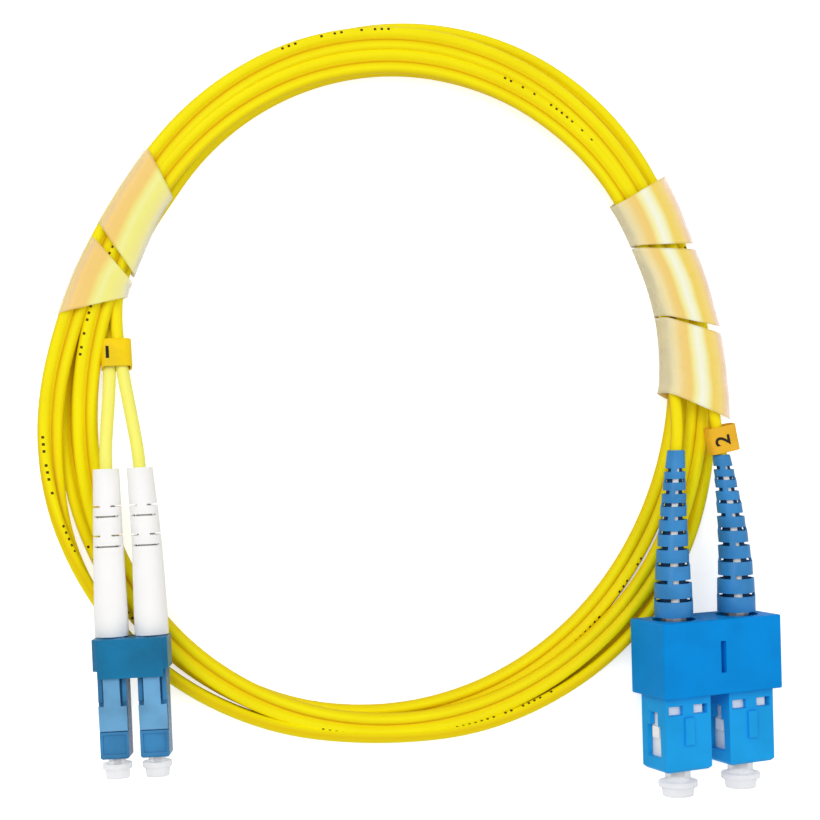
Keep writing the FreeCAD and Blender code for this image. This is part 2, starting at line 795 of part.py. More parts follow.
def rounded_route(points, label):
    """Straight runs joined by arcs as large as the runs allow."""
    edges = []
    radii = []
    here = points[0]
    for before, corner, after in zip(points, points[1:], points[2:]):
        into, out = unit(corner - before), unit(after - corner)
        half_turn = math.acos(max(-1.0, min(1.0, into.dot(out)))) / 2
        trim = CORNER_SHARE * min((corner - before).Length, (after - corner).Length)
        radii.append(trim / math.tan(half_turn))
        entry, leave = corner - into * trim, corner + out * trim
        edges.append(Part.LineSegment(here, entry).toShape())
        edges.append(arc_from(entry, into, leave))
        here = leave
    edges.append(Part.LineSegment(here, points[-1]).toShape())
    print(label, "radii", [round(radius, 1) for radius in radii])
    return Part.Wire(edges)


def swept(path, section, label):
    """The solid that a closed section makes along a path in default mode."""
    solid = path.makePipeShell([section], True, False)
    face_area = Part.Face(section).Area
    print(label, "volume", round(solid.Volume, 1), "section times length", round(face_area * path.Length, 1))
    return solid


def add_formed(label, shape, on_connector=False, placement=None):
    feature = doc.addObject("Part::Feature", label)
    feature.Label = label
    feature.Shape = shape
    keep(feature, placement or FreeCAD.Placement(), on_connector)
    return feature


def make_spring(kind, number):
    """The coil spring between the rear body and the flange: square wire in short straight runs."""
    radius = size(kind + "_spring_diameter").value / 2
    wire = size(kind + "_spring_wire").value
    low = size(kind + "_body_front").value + wire / 2 + size("running_gap").value
    high = size(kind + "_flange_rear").value - wire / 2 - size("running_gap").value
    runs = SPRING_RUNS * int(size(kind + "_spring_turns").value)
    points = []
    for run in range(runs + 1):
        angle = 2 * math.pi * run / SPRING_RUNS
        points.append(Vector(radius * math.cos(angle), radius * math.sin(angle), low + (high - low) * run / runs))
    heading = unit(points[1] - points[0])
    aside = unit(heading.cross(Vector(0, 0, 1))) * (wire / 2)
    up = unit(aside.cross(heading)) * (wire / 2)
    corners = [points[0] + aside * a + up * b for a, b in ((-1, -1), (1, -1), (1, 1), (-1, 1))]
    section = Part.makePolygon(corners + corners[:1])
    label = "{}_spring_{}".format(kind, number)
    solid = Part.makePolygon(points).makePipeShell([section], True, False, 1)
    add_formed(label, solid, True, plug_frame(kind, number))


# The coil

COIL_TURN = 360.0 * SIZES["coil_whole_turns"] + SIZES["coil_start_angle"] - SIZES["coil_end_angle"]
QUARTERS = 4 * SIZES["coil_whole_turns"] + 2
REVERSAL = COIL_TURN / 2
JACKET = SIZES["jacket_diameter"]
FLOOR_LEVEL = SIZES["coil_bottom"] + JACKET / 2
JACKET_CORNERS = (-110, -38, 38, 110)  # degrees round a jacket, from its outer side


def layer_height(travelled):
    """Height of the cord's middle: one layer up in the half turn about the reversal."""
    share = (travelled - (REVERSAL - 90)) / 180
    share = max(0.0, min(1.0, share))
    return FLOOR_LEVEL + SIZES["coil_layer_step"] * share * share * (3 - 2 * share)


def ring_place(angle, reach, height):
    """A point of the oval ring at an angle, at so much mean distance from its middle."""
    radians = math.radians(angle)
    reach = reach + SIZES["coil_oval"] * math.cos(2 * (radians - math.radians(SIZES["coil_oval_tilt"])))
    along = (reach + SIZES["coil_extra_half_height"]) * math.sin(radians)
    return Vector(SIZES["coil_centre_x"] + reach * math.cos(radians), SIZES["coil_centre_y"] + along, height)


def coil_point(travelled):
    """The cord's middle after so many degrees of winding, clockwise from the start."""
    turned = min(travelled, COIL_TURN - travelled)
    reach = SIZES["coil_inner_half_width"] + SIZES["coil_turn_step"] * turned / 360
    return ring_place(SIZES["coil_start_angle"] - travelled, reach, layer_height(travelled))


def coil_heading(travelled):
    step = 0.05
    ahead = min(travelled + step, COIL_TURN)
    behind = max(travelled - step, 0.0)
    return unit(coil_point(ahead) - coil_point(behind))


def zip_section(middle, heading):
    """The cord's section: two flat-sided jackets joined by a web."""
    aside = unit(Vector(0, 0, 1).cross(heading))
    up = unit(heading.cross(aside))
    apart = SIZES["jacket_spacing"] / 2
    radius = JACKET / 2
    web = SIZES["web_thickness"] / 2
    jacket = []
    for degrees in JACKET_CORNERS:
        angle = math.radians(degrees)
        jacket.append((apart + radius * math.cos(angle), radius * math.sin(angle)))
    mirrored = [(-x, y) for x, y in reversed(jacket)]
    outline = [(0.0, -web)] + jacket + [(0.0, web)] + mirrored
    corners = [middle + aside * x + up * y for x, y in outline]
    return Part.makePolygon(corners + corners[:1])


def make_zip_cord():
    stops = [COIL_TURN * step / QUARTERS for step in range(QUARTERS + 1)]
    lead = SIZES["jacket_spacing"]
    start, first = coil_point(0), coil_heading(0)
    end, last = coil_point(COIL_TURN), coil_heading(COIL_TURN)
    edges = [Part.LineSegment(start - first * lead, start).toShape()]
    for here, there in zip(stops, stops[1:]):
        edges += biarc(coil_point(here), coil_heading(here), coil_point(there), coil_heading(there))
    edges.append(Part.LineSegment(end, end + last * lead).toShape())
    path = Part.Wire(edges)
    section = zip_section(start - first * lead, first)
    add_formed("zip_cord", swept(path, section, "zip_cord"))
    print("zip cord length", round(path.Length, 1))
    return start - first * lead, -first, end + last * lead, last


def least_gap_of_coil():
    """Smallest space between one part of the coiled cord and another."""
    apart = SIZES["jacket_spacing"] / 2
    samples = []
    for degrees in range(0, int(COIL_TURN), 4):
        heading = coil_heading(degrees)
        aside = unit(Vector(0, 0, 1).cross(heading))
        middle = coil_point(degrees)
        samples.append((degrees, middle + aside * apart))
        samples.append((degrees, middle - aside * apart))
    least = min((a - b).Length for i, (s, a) in enumerate(samples)
                for t, b in samples[i + 1:] if t - s > 90)
    print("least gap of the coil to itself", round(least - JACKET, 2))


def split_points(kind, number, start, heading):
    """The first points of a split end: straight out of the coil, then as chosen by hand."""
    aside = unit(Vector(0, 0, 1).cross(heading)) * (-1 if number == 1 else 1)
    jacket = start + aside * (SIZES["jacket_spacing"] / 2)
    points = [jacket, jacket + heading * LEAD_FROM_COIL[kind]]
    if kind == "lc":
        shift = Vector(1, 0, 0) * (side_offset("lc", number) * LC_SPLIT_SPREAD)
        return points + [Vector(*place) + shift for place in LC_SPLIT_ROUTE]
    return points + [Vector(*place) for place in SC_SPLIT_ROUTE[number]]


def make_split_end(kind, number, points):
    """One jacketed fibre from the coil, through its boot, to the crimped stub."""
    frame = plug_frame(kind, number)
    tail = frame.multVec(Vector(0, 0, -SIZES[kind + "_boot_length"] - LEAD_INTO_BOOT[kind]))
    end = frame.multVec(Vector(0, 0, SIZES[kind + "_stub_rear"]))
    label = "{}_split_end_{}".format(kind, number)
    path = rounded_route(points + [tail, end], label)
    heading = unit(points[1] - points[0])
    aside = unit(Vector(0, 0, 1).cross(heading)) * (JACKET / 2)
    up = heading.cross(aside)
    angles = [math.pi * (2 * side + 1) / SMALL_SIDES for side in range(SMALL_SIDES)]
    corners = [points[0] + aside * math.cos(angle) + up * math.sin(angle) for angle in angles]
    add_formed(label, swept(path, Part.makePolygon(corners + corners[:1]), label))
    print(label, "length", round(path.Length, 1))


# Film wraps and tags

CORD_HALF_WIDTH = (JACKET + SIZES["jacket_spacing"]) / 2
BUNDLE_INNER = SIZES["coil_inner_half_width"] - CORD_HALF_WIDTH
BUNDLE_OUTER = SIZES["coil_inner_half_width"] + SIZES["coil_turn_step"] * REVERSAL / 360 + CORD_HALF_WIDTH
BUNDLE_TOP = SIZES["coil_bottom"] + JACKET + SIZES["coil_layer_step"]


def film_section(angles, wall, top):
    """Corners of a blunted outline round the whole bundle, from an inner to an outer angle."""
    near, far = ring_place(angles[0], BUNDLE_INNER, 0), ring_place(angles[1], BUNDLE_OUTER, 0)
    aside = unit(far - near)
    beyond = SIZES["film_clearance"] + wall
    left, right = -beyond, (far - near).Length + beyond
    low = SIZES["coil_bottom"] - SIZES["film_floor_clearance"] - wall
    high = top + beyond
    corner = SIZES["film_corner"]
    outline = [(left + corner, low), (right - corner, low), (right, low + corner), (right, high - corner),
               (right - corner, high), (left + corner, high), (left, high - corner), (left, low + corner)]
    return [near + aside * across + Vector(0, 0, height) for across, height in outline]


def flat_face(*corners):
    return Part.Face(Part.makePolygon(list(corners) + [corners[0]]))


def faceted_solid(sections):
    """The solid through a row of outlines with as many corners each, with flat faces."""
    faces = [flat_face(*sections[0]), flat_face(*sections[-1])]
    for here, there in zip(sections, sections[1:]):
        for number in range(len(here)):
            after = (number + 1) % len(here)
            faces.append(flat_face(here[number], here[after], there[after]))
            faces.append(flat_face(here[number], there[after], there[number]))
    solid = Part.makeSolid(Part.makeShell(faces))
    if solid.Volume < 0:
        solid.reverse()
    return solid


def film_body(ends, rise, wall):
    """The space inside the film, which swells by rise over the split ends at its lower end."""
    sections = []
    for step in range(FILM_STEPS + 1):
        share = step / FILM_STEPS
        swell = max(0.0, min(1.0, (share - SWELL_START) / SWELL_LENGTH))
        angles = [top + (bottom - top) * share for top, bottom in zip(*ends)]
        sections.append(film_section(angles, wall, BUNDLE_TOP + rise * swell))
    return faceted_solid(sections)


def film_gap(inner_angle, outer_angle):
    """A slanted cut over the top and sides, which spares the film under the bundle."""
    level = SIZES["coil_bottom"] + JACKET / 2
    beyond = CORD_HALF_WIDTH
    inner = ring_place(inner_angle, BUNDLE_INNER - beyond, level)
    outer = ring_place(outer_angle, BUNDLE_OUTER + beyond, level)
    aside = unit(Vector(0, 0, 1).cross(outer - inner)) * (SIZES["film_gap"] / 2)
    corners = [inner - aside, outer - aside, outer + aside, inner + aside]
    face = Part.Face(Part.makePolygon(corners + corners[:1]))
    return face.extrude(Vector(0, 0, BUNDLE_TOP + SIZES["right_film_rise"]))


def make_wrap(side, rise):
    """A film sleeve round the bundle with the slanted gaps between its turns."""
    outside = film_body(FILM_ENDS[side], rise, SIZES["film_thickness"])
    inside = film_body(FILM_ENDS[side], rise, 0.0)
    sleeve = outside.cut(inside)
    for inner_angle, outer_angle in FILM_GAPS[side]:
        sleeve = sleeve.cut(film_gap(inner_angle, outer_angle))
    add_formed("coil_wrap_" + side, sleeve)


def make_tag(label, inner_width, middle, heading):
    """A flat sleeve with blunted corners, for a number, round one or two split ends."""
    wall = size("tag_wall")
    inner_half = inner_width / 2
    inner_up = size("jacket_diameter") / 2 + size("tag_height_clearance")
    corner = inner_up / 2
    length = size("tag_length")
    body = new_body(label)
    sketch = sketch_on(body, "XY_Plane", -length / 2)
    for grow in (wall, ZERO):
        across, up = inner_half + grow, inner_up + grow
        add_outline(sketch, [(corner - across, -up), (across - corner, -up), (across, corner - up),
                             (across, up - corner), (across - corner, up), (corner - across, up),
                             (-across, up - corner), (-across, corner - up)])
    pad(body, sketch, length)
    turn = FreeCAD.Rotation(Vector(0, 0, 1).cross(heading), Vector(0, 0, 1), heading, "ZXY")
    keep(body, FreeCAD.Placement(middle, turn), on_connector=False)


# The whole object

for plug in (1, 2):
    make_lc_housing(plug)
    make_lc_latch(plug)
    make_sc_grip(plug)
    make_sc_inner_body(plug)
    for family in ("lc", "sc"):
        make_ferrule(family, plug)
        make_flange(family, plug)
        make_spring(family, plug)
        make_rear_body(family, plug)
        make_crimp_sleeve(family, plug)
        make_buffer(family, plug)
        make_boot(family, plug)
        make_dust_cap(family, plug)
make_lc_clip()
make_sc_clip()

lc_end, lc_heading, sc_end, sc_heading = make_zip_cord()
least_gap_of_coil()
for plug in (1, 2):
    make_split_end("lc", plug, split_points("lc", plug, lc_end, lc_heading))
    make_split_end("sc", plug, split_points("sc", plug, sc_end, sc_heading))
make_wrap("left", 0.0)
make_wrap("right", SIZES["right_film_rise"])

lc_run = Vector(*LC_SPLIT_ROUTE[2]) - Vector(*LC_SPLIT_ROUTE[1])
pair_width = size("lc_pitch") * LC_SPLIT_SPREAD + size("jacket_diameter") + size("tag_clearance") * 2
make_tag("number_tag_lc", pair_width, Vector(*LC_SPLIT_ROUTE[1]) + lc_run / 2, unit(lc_run))
tag_place = plug_frame("sc", 2, -SIZES["sc_boot_length"] - SIZES["tag_boot_gap"] - SIZES["tag_length"] / 2)
flag_width = size("tag_flag_width") - size("tag_wall") * 2
make_tag("number_tag_sc", flag_width, tag_place.Base, unit(tag_place.Rotation.multVec(Vector(0, 0, 1))))

doc.recompute()

# The origin is at the middle of the underside of the connectors' box, on the table
box = FreeCAD.BoundBox()
for piece in connector_pieces:
    box.add(piece.Shape.optimalBoundingBox(True, False))
origin = Vector(box.Center.x, box.Center.y, box.ZMin)
for piece in pieces:
    placement = piece.Placement
    placement.move(-origin)
    piece.Placement = placement
doc.recompute()
print("origin moved by", [round(value, 3) for value in origin])

failed = [thing.Label for thing in doc.Objects if "Invalid" in thing.State or "Error" in thing.State]
if failed:
    raise RuntimeError("did not recompute: " + ", ".join(failed))
for piece in pieces:
    if piece.Shape.isNull() or not piece.Shape.isValid():
        raise RuntimeError(piece.Label + " has no valid shape")
    if len(piece.Shape.Solids) != 1:
        raise RuntimeError("{} has {} solids".format(piece.Label, len(piece.Shape.Solids)))

os.makedirs("parts", exist_ok=True)
for piece in pieces:
    piece.Shape.exportStep("parts/{}.step".format(piece.Label))
print(len(pieces), "sub-parts written")
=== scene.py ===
"""Fibre optic patch cord: a coiled yellow zip cord with two duplex connectors.

Lengths are in millimetres until a mesh is made, and metres from there on. Places are first
given in the drawing's own frame, whose middle lies near the middle of the coil, and are moved
to the model's frame by ``metres``.
"""
import json
import logging
from dataclasses import dataclass, field
from enum import Enum
from functools import partial
from math import asin, copysign, cos, pi, radians, sin
from typing import Callable, Optional, Sequence

import bmesh
import bpy
from mathutils import Matrix, Vector

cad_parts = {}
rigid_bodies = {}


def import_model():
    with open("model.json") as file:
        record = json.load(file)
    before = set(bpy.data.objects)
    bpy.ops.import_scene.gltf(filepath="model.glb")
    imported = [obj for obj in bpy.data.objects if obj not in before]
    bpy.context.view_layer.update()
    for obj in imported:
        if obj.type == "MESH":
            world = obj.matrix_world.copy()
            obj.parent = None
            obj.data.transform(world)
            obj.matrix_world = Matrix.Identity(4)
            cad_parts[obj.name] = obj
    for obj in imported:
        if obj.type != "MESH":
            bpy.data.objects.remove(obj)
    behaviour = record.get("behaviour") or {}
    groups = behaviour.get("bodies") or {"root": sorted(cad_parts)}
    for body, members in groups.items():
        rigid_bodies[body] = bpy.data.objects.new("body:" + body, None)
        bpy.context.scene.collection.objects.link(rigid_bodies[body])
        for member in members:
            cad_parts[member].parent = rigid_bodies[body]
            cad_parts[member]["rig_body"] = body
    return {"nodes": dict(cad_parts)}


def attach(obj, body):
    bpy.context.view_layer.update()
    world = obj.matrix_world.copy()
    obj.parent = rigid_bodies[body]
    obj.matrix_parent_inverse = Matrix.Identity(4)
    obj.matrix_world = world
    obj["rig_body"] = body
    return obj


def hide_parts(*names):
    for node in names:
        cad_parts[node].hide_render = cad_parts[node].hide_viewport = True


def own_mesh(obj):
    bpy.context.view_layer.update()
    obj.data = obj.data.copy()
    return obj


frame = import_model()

LOG = logging.getLogger("patch_cord")
ROOT = "cord_and_plugs"
ORIGIN = Vector((4.71, -35.564, 0.0))
MM = 0.001
UP = Vector((0.0, 0.0, 1.0))
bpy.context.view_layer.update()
Triple = tuple[float, float, float]
Pairs = Sequence[tuple[float, float]]
Colour = Triple
Socket, Node, Object = bpy.types.NodeSocket, bpy.types.Node, bpy.types.Object
BMesh, BMVert, BMEdge = bmesh.types.BMesh, bmesh.types.BMVert, bmesh.types.BMEdge


# Finishes


def linear(colour: Colour) -> tuple[float, ...]:
    """Turns a colour of 0 to 255 per channel into linear light, with an alpha of 1."""
    shares = [value / 255.0 for value in colour]
    return (*(s / 12.92 if s <= 0.04045 else ((s + 0.055) / 1.055) ** 2.4 for s in shares), 1.0)


def between(low: Sequence[float], high: Sequence[float], share: float) -> tuple[float, ...]:
    """The numbers that lie a share of the way from one row to another."""
    return tuple(near + (far - near) * share for near, far in zip(low, high))


class Wiring:
    """A node tree that is wired a node at a time."""

    def __init__(self, tree: bpy.types.NodeTree) -> None:
        """Keeps the nodes of a material or of the world."""
        self.tree = tree

    def feed(self, node: Node, inputs: dict) -> Node:
        """Gives a node's inputs a socket or a plain value each, by their names or numbers.

        Args:
            node: The node.
            inputs: What its inputs get.

        Returns:
            The node.
        """
        for key, value in inputs.items():
            if isinstance(value, Socket):
                self.tree.links.new(value, node.inputs[key])
            else:
                node.inputs[key].default_value = value
        return node

    def shade(self, inputs: dict) -> None:
        """Gives the material's own shader its inputs."""
        self.feed(self.tree.nodes["Principled BSDF"], inputs)

    def add(self, kind: str, inputs: dict, **settings: str) -> Node:
        """Adds a node.

        Args:
            kind: The name of its type, after "ShaderNode".
            inputs: What its inputs get.
            settings: The node's own settings.

        Returns:
            The node.
        """
        node = self.tree.nodes.new("ShaderNode" + kind)
        for name, value in settings.items():
            setattr(node, name, value)
        return self.feed(node, inputs)

    def maths(self, kind: str, first: Socket, second: "Socket | float" = 0.0) -> Socket:
        """One sum on a socket and another socket or a number."""
        return self.add("Math", {0: first, 1: second}, operation=kind).outputs["Value"]

    def spread(self, value: Socket, low: float, high: float, start: float = 0.0, end: float = 1.0) -> Socket:
        """Spreads a value that goes from start to end over low to high."""
        inputs = {"Value": value, "From Min": start, "From Max": end, "To Min": low, "To Max": high}
        return self.add("MapRange", inputs).outputs["Result"]

    def mix(self, first: "Socket | tuple", second: "Socket | tuple", share: Socket) -> Socket:
        """Goes from one colour to another by a share."""
        inputs = {"A": first, "B": second, "Factor": share}
        return self.add("Mix", inputs, data_type="RGBA").outputs["Result"]

    def noise(self, scale: float, detail: float, place: Optional[Socket] = None) -> Socket:
        """Noise that is fixed to the object, or that follows another place on it.

        Args:
            scale: Cells per metre.
            detail: Octaves of finer noise.
            place: The place that it follows.

        Returns:
            The noise's socket.
        """
        if place is None:
            place = self.add("TexCoord", {}).outputs["Object"]
        return self.add("TexNoise", {"Vector": place, "Scale": scale, "Detail": detail}).outputs["Fac"]

    def ramp(self, share: Socket, stops: Sequence[tuple[float, tuple]]) -> Socket:
        """A row of colours that a share picks from.

        Args:
            share: The share.
            stops: The place and colour of each stop, in order.

        Returns:
            The colour's socket.
        """
        node = self.add("ValToRGB", {"Fac": share})
        held = node.color_ramp.elements
        while len(held) < len(stops):
            held.new(0.5)
        for number, (place, colour) in enumerate(stops):
            held[number].position, held[number].color = place, colour
        return node.outputs["Color"]

    def map_of(self, name: str) -> tuple[Socket, Node]:
        """A piece's own map, whole and parted in its two lengths."""
        uv = self.add("UVMap", {}, uv_map=name).outputs["UV"]
        return uv, self.add("SeparateXYZ", {"Vector": uv})


class Grain(Enum):
    """How the fine surface of a moulding is broken up: cells per metre and strength."""

    POLISHED = (900.0, 0.010)
    SATIN = (1400.0, 0.035)
    RUBBER = (1900.0, 0.090)


@dataclass(frozen=True)
class Finish:
    """A moulded or extruded surface with uneven colour, gloss and fine grain."""

    name: str
    colour: Colour
    roughness: float = 0.4
    unevenness: float = 0.10
    grain: Grain = Grain.SATIN
    metallic: float = 0.0
    alpha: float = 1.0
    coat: float = 0.0
    specular: float = 0.18

    def build(self) -> bpy.types.Material:
        """Makes the material once and gives it back later.

        Returns:
            The node material.
        """
        label = "look_" + self.name
        made = bpy.data.materials.get(label)
        if made is not None:
            return made
        material = bpy.data.materials.new(label)
        material.use_nodes = True
        wires = Wiring(material.node_tree)
        wires.shade({
            "Metallic": self.metallic, "Alpha": self.alpha, "Coat Weight": self.coat, "Coat Roughness": 0.12,
            "Specular IOR Level": self.specular})
        self.paint(wires)
        self.roughen(wires)
        return material

    def paint(self, wires: Wiring) -> None:
        """Varies the colour a little over the moulding.

        Args:
            wires: The material's nodes.
        """
        base = linear(self.colour)
        darker = (*(channel * (1.0 - self.unevenness) for channel in base[:3]), 1.0)
        wires.shade({"Base Color": wires.ramp(wires.noise(160.0, 3.0), ((0.35, darker), (0.65, base)))})

    def roughen(self, wires: Wiring) -> None:
        """Adds the fine grain and the uneven gloss.

        Args:
            wires: The material's nodes.
        """
        scale, strength = self.grain.value
        bump = wires.add("Bump", {"Strength": strength, "Distance": 0.0002, "Height": wires.noise(scale, 4.0)})
        gloss = wires.spread(wires.noise(300.0, 2.0), self.roughness * 0.8, min(1.0, self.roughness * 1.2))
        wires.shade({"Normal": bump.outputs["Normal"], "Roughness": gloss})


@dataclass(frozen=True)
class JacketFinish(Finish):
    """The cord's yellow jacket: painted shade in its grooves and on its flanks, with dark ticks printed along the
    coil.
    """

    # colour of the painted shade in the grooves between jackets and on their flanks
    groove_shade: Colour = (240, 168, 0)
    lobes: int = 1
    marks: bool = False
    # metres along from which the jacket is paler, and the paler colour
    paler: Optional[tuple[float, Colour]] = None
    # share round one lobe and how far its colour is from the painted shade's; the darker stops paint shade in the
    # grooves and on the outer flank
    GROOVE_AND_FLANK_SHADING = ((0.0, 0.0), (0.10, 0.75), (0.22, 1.0), (0.46, 0.45), (0.62, 1.0), (0.90, 0.9), (0.96, 0.6), (1.0, 0.0))
    INK = (84, 56, 6)
    # metres from one tick to the next and of a tick, then of a group of ticks, with its start
    TICK_PITCH, TICK_WIDTH = 0.0011, 0.00042
    GROUP_PITCH, GROUP_LENGTH, GROUP_START = 0.094, 0.019, 0.021
    # share of ticks left out, and the shares round between which they lie
    LEFT_OUT, BAND = 0.35, (0.305, 0.345)

    def paint(self, wires: Wiring) -> None:
        """Paints shade into the jacket's grooves and flanks by its place round the cord, and its printed ticks.

        Args:
            wires: The material's nodes.
        """
        _, split = wires.map_of("jacket")
        along, around = split.outputs["X"], split.outputs["Y"]
        lobe = wires.maths("FRACT", wires.maths("MULTIPLY", around, float(self.lobes)))
        # painted shade: darker towards the grooves and on the outer flank, by the place round each lobe
        base, shade_colour = linear(self.colour), linear(self.groove_shade)
        shades = wires.ramp(lobe, [(place, between(shade_colour, base, share)) for place, share in self.GROOVE_AND_FLANK_SHADING])
        patches = wires.spread(wires.noise(60.0, 3.0), 0.0, 0.35, 0.35, 0.75)
        colour = wires.mix(shades, between(shade_colour, base, 0.55), patches)
        if self.paler is not None:
            start, pale = self.paler
            colour = wires.mix(colour, linear(pale), wires.spread(along, 0.0, 0.85, start, start + 0.0006))
        if self.marks:
            colour = wires.mix(colour, linear(self.INK), self.ticks(wires, along, around))
        wires.shade({"Base Color": colour})

    def ticks(self, wires: Wiring, along: Socket, around: Socket) -> Socket:
        """Where the small dark ticks are: groups of short plain strokes on one flank.

        Args:
            wires: The material's nodes.
            along: Metres along the cord.
            around: Share round it.

        Returns:
            A socket that is 1 on a tick.
        """
        stroke = wires.maths("LESS_THAN", wires.maths("MODULO", along, self.TICK_PITCH), self.TICK_WIDTH)
        shifted = wires.maths("ADD", along, self.GROUP_START)
        group = wires.maths("LESS_THAN", wires.maths("MODULO", shifted, self.GROUP_PITCH), self.GROUP_LENGTH)
        number = wires.maths("FLOOR", wires.maths("DIVIDE", along, self.TICK_PITCH))
        chance = wires.add("TexWhiteNoise", {"W": number}, noise_dimensions="1D").outputs["Value"]
        kept = wires.maths("GREATER_THAN", chance, self.LEFT_OUT)
        band = wires.maths("MULTIPLY", wires.maths("GREATER_THAN", around, self.BAND[0]),
                           wires.maths("LESS_THAN", around, self.BAND[1]))
        return wires.maths("MULTIPLY", wires.maths("MULTIPLY", stroke, group), wires.maths("MULTIPLY", kept, band))


@dataclass(frozen=True)
class FilmFinish(Finish):
    """Clear film wound tight: a painted highlight streak on its crown, tinted by the jackets at its flanks."""

    # share from the ring's inner side to its outer, colour, how much it hides; the palest stops along the crown paint
    # a highlight
    tints_and_highlight: tuple[tuple[float, Colour, float], ...] = ()

    def paint(self, wires: Wiring) -> None:
        """Tints the film, paints a highlight streak along its crown, and lets it clear and cloud in streaks along the
        wrap.

        Args:
            wires: The material's nodes.
        """
        uv, split = wires.map_of("film")
        streaks = wires.add("Mapping", {"Vector": uv, "Scale": (1.6, 0.6, 1.0)}).outputs["Vector"]
        drift = wires.spread(wires.noise(1.0, 1.0, streaks), -0.06, 0.06)
        share = wires.maths("ADD", split.outputs["Y"], drift)
        # the ramp holds the film's colours and its painted highlight streak along the crown
        tint_and_highlight = wires.ramp(share, [(place, linear(colour)) for place, colour, _ in self.tints_and_highlight])
        veil = wires.ramp(share, [(place, (hides, hides, hides, 1.0)) for place, _, hides in self.tints_and_highlight])
        wires.shade({"Base Color": tint_and_highlight, "Alpha": veil})


# the darker colour of each jacket paints shade into its grooves and flanks
JACKET = JacketFinish("coil_jacket", (255, 242, 8), 0.46, specular=0.10, groove_shade=(214, 150, 0),
                      lobes=2, marks=True)
LEG = JacketFinish("small_pair_jacket", (255, 240, 20), 0.46, specular=0.10, groove_shade=(236, 180, 0),
                   paler=(0.0198, (255, 253, 128)))
SINGLE = JacketFinish("large_pair_jacket", (255, 238, 8), 0.46, specular=0.10, groove_shade=(222, 160, 0))
# left film: its palest stops across the crown paint a highlight
LEFT_FILM = FilmFinish("left_film", (255, 236, 140), 0.28, grain=Grain.POLISHED, specular=0.2, tints_and_highlight=(
    (0.00, (255, 254, 248), 0.25), (0.05, (255, 252, 226), 0.60), (0.15, (255, 247, 160), 0.82),
    (0.32, (255, 250, 138), 0.88), (0.45, (255, 253, 165), 0.90), (0.53, (255, 242, 140), 0.90),
    (0.61, (255, 216, 122), 0.92), (0.82, (255, 216, 130), 0.90), (0.93, (255, 230, 190), 0.40),
    (1.00, (255, 246, 236), 0.06)))
# right film: the near-white stop at 0.48 paints a highlight streak along the crown
RIGHT_FILM = FilmFinish("right_film", (255, 236, 160), 0.28, grain=Grain.POLISHED, specular=0.2, tints_and_highlight=(
    (0.00, (255, 246, 208), 0.55), (0.04, (255, 243, 196), 0.80), (0.12, (255, 234, 170), 0.86),
    (0.20, (255, 222, 136), 0.88),
    (0.30, (255, 218, 120), 0.90), (0.38, (255, 249, 172), 0.92), (0.48, (255, 255, 236), 0.96),
    (0.57, (255, 253, 200), 0.92), (0.66, (255, 224, 100), 0.88), (0.80, (255, 227, 132), 0.88),
    (0.91, (255, 221, 188), 0.52), (1.00, (252, 238, 234), 0.08)))
TAG_YELLOW = Finish("small_tag_yellow", (255, 216, 4), 0.45, 0.22)
TAG_ORANGE = Finish("large_tag_orange", (250, 190, 40), 0.45, 0.14)
PRINT = Finish("black_print", (34, 24, 12), 0.5, 0.2)
WHITE_BOOT = Finish("white_rubber", (255, 254, 252), 0.55, 0.02, Grain.RUBBER)
TEAL_CLIP = Finish("teal_plastic", (14, 120, 168), 0.30, 0.25, Grain.POLISHED)
SMALL_BLUE = Finish("small_plug_blue", (58, 136, 190), 0.24, 0.35, Grain.POLISHED, coat=0.08)
# a lighter copy of the housing's blue that paints the light on the latch
LIT_LATCH_BLUE = Finish("lit_latch_blue", (112, 174, 218), 0.24, 0.25, Grain.POLISHED, coat=0.08)
LARGE_BLUE = Finish("large_clip_blue", (0, 145, 230), 0.42, 0.10, specular=0.06)
GRIP_BLUE = Finish("grip_blue", (30, 166, 240), 0.42, 0.10, specular=0.06)
BLUE_BOOT = Finish("blue_rubber", (56, 142, 208), 0.42, 0.22, Grain.RUBBER, specular=0.25)
# painted shade: a dark blue that stands for the shaded inside of the blue boots
BOOT_INSIDE_SHADE = Finish("painted_boot_shade", (18, 66, 112), 0.6, 0.2, Grain.RUBBER)
INNER_WHITE = Finish("inner_white", (255, 255, 255), 0.35, 0.04)
CERAMIC = Finish("ceramic", (240, 238, 230), 0.12, 0.03, Grain.POLISHED, coat=0.3, specular=0.5)
NICKEL = Finish("nickel", (190, 190, 186), 0.28, 0.10, Grain.POLISHED, metallic=1.0)
CRIMP = Finish("crimp_metal", (176, 178, 182), 0.38, 0.14, metallic=1.0)
SPRING = Finish("spring_wire", (150, 152, 156), 0.22, 0.10, Grain.POLISHED, metallic=1.0)
LINING = Finish("boot_lining", (255, 254, 248), 0.45, 0.04)
BUFFER = Finish("buffer_white", (244, 243, 236), 0.45, 0.05)
CAP_CLEAR = Finish("frosted_cap", (238, 238, 242), 0.30, 0.06, alpha=0.45, coat=0.15)

# The finish of each solid that is shown as it was drawn, by its name without the pair's
SOLID_FINISHES: dict[str, Finish] = {
    "ferrule_flange": NICKEL, "ferrule": CERAMIC, "rear_body": NICKEL, "crimp_sleeve": CRIMP, "buffered_fibre": BUFFER}


# Places and meshes


def metres(point: Vector) -> Vector:
    """Moves a point of the drawing, in millimetres, to the model's frame in metres."""
    return (point - ORIGIN) * MM


def put(name: str, data: "bpy.types.ID | BMesh") -> Object:
    """Makes an object and links it to the scene.

    Args:
        name: Its name.
        data: Its data, or the mesh that is turned into it and freed.

    Returns:
        The object.
    """
    if isinstance(data, BMesh):
        mesh = bpy.data.meshes.new(name)
        data.to_mesh(mesh)
        data.free()
        data = mesh
    made = bpy.data.objects.new(name, data)
    bpy.context.scene.collection.objects.link(made)
    return made


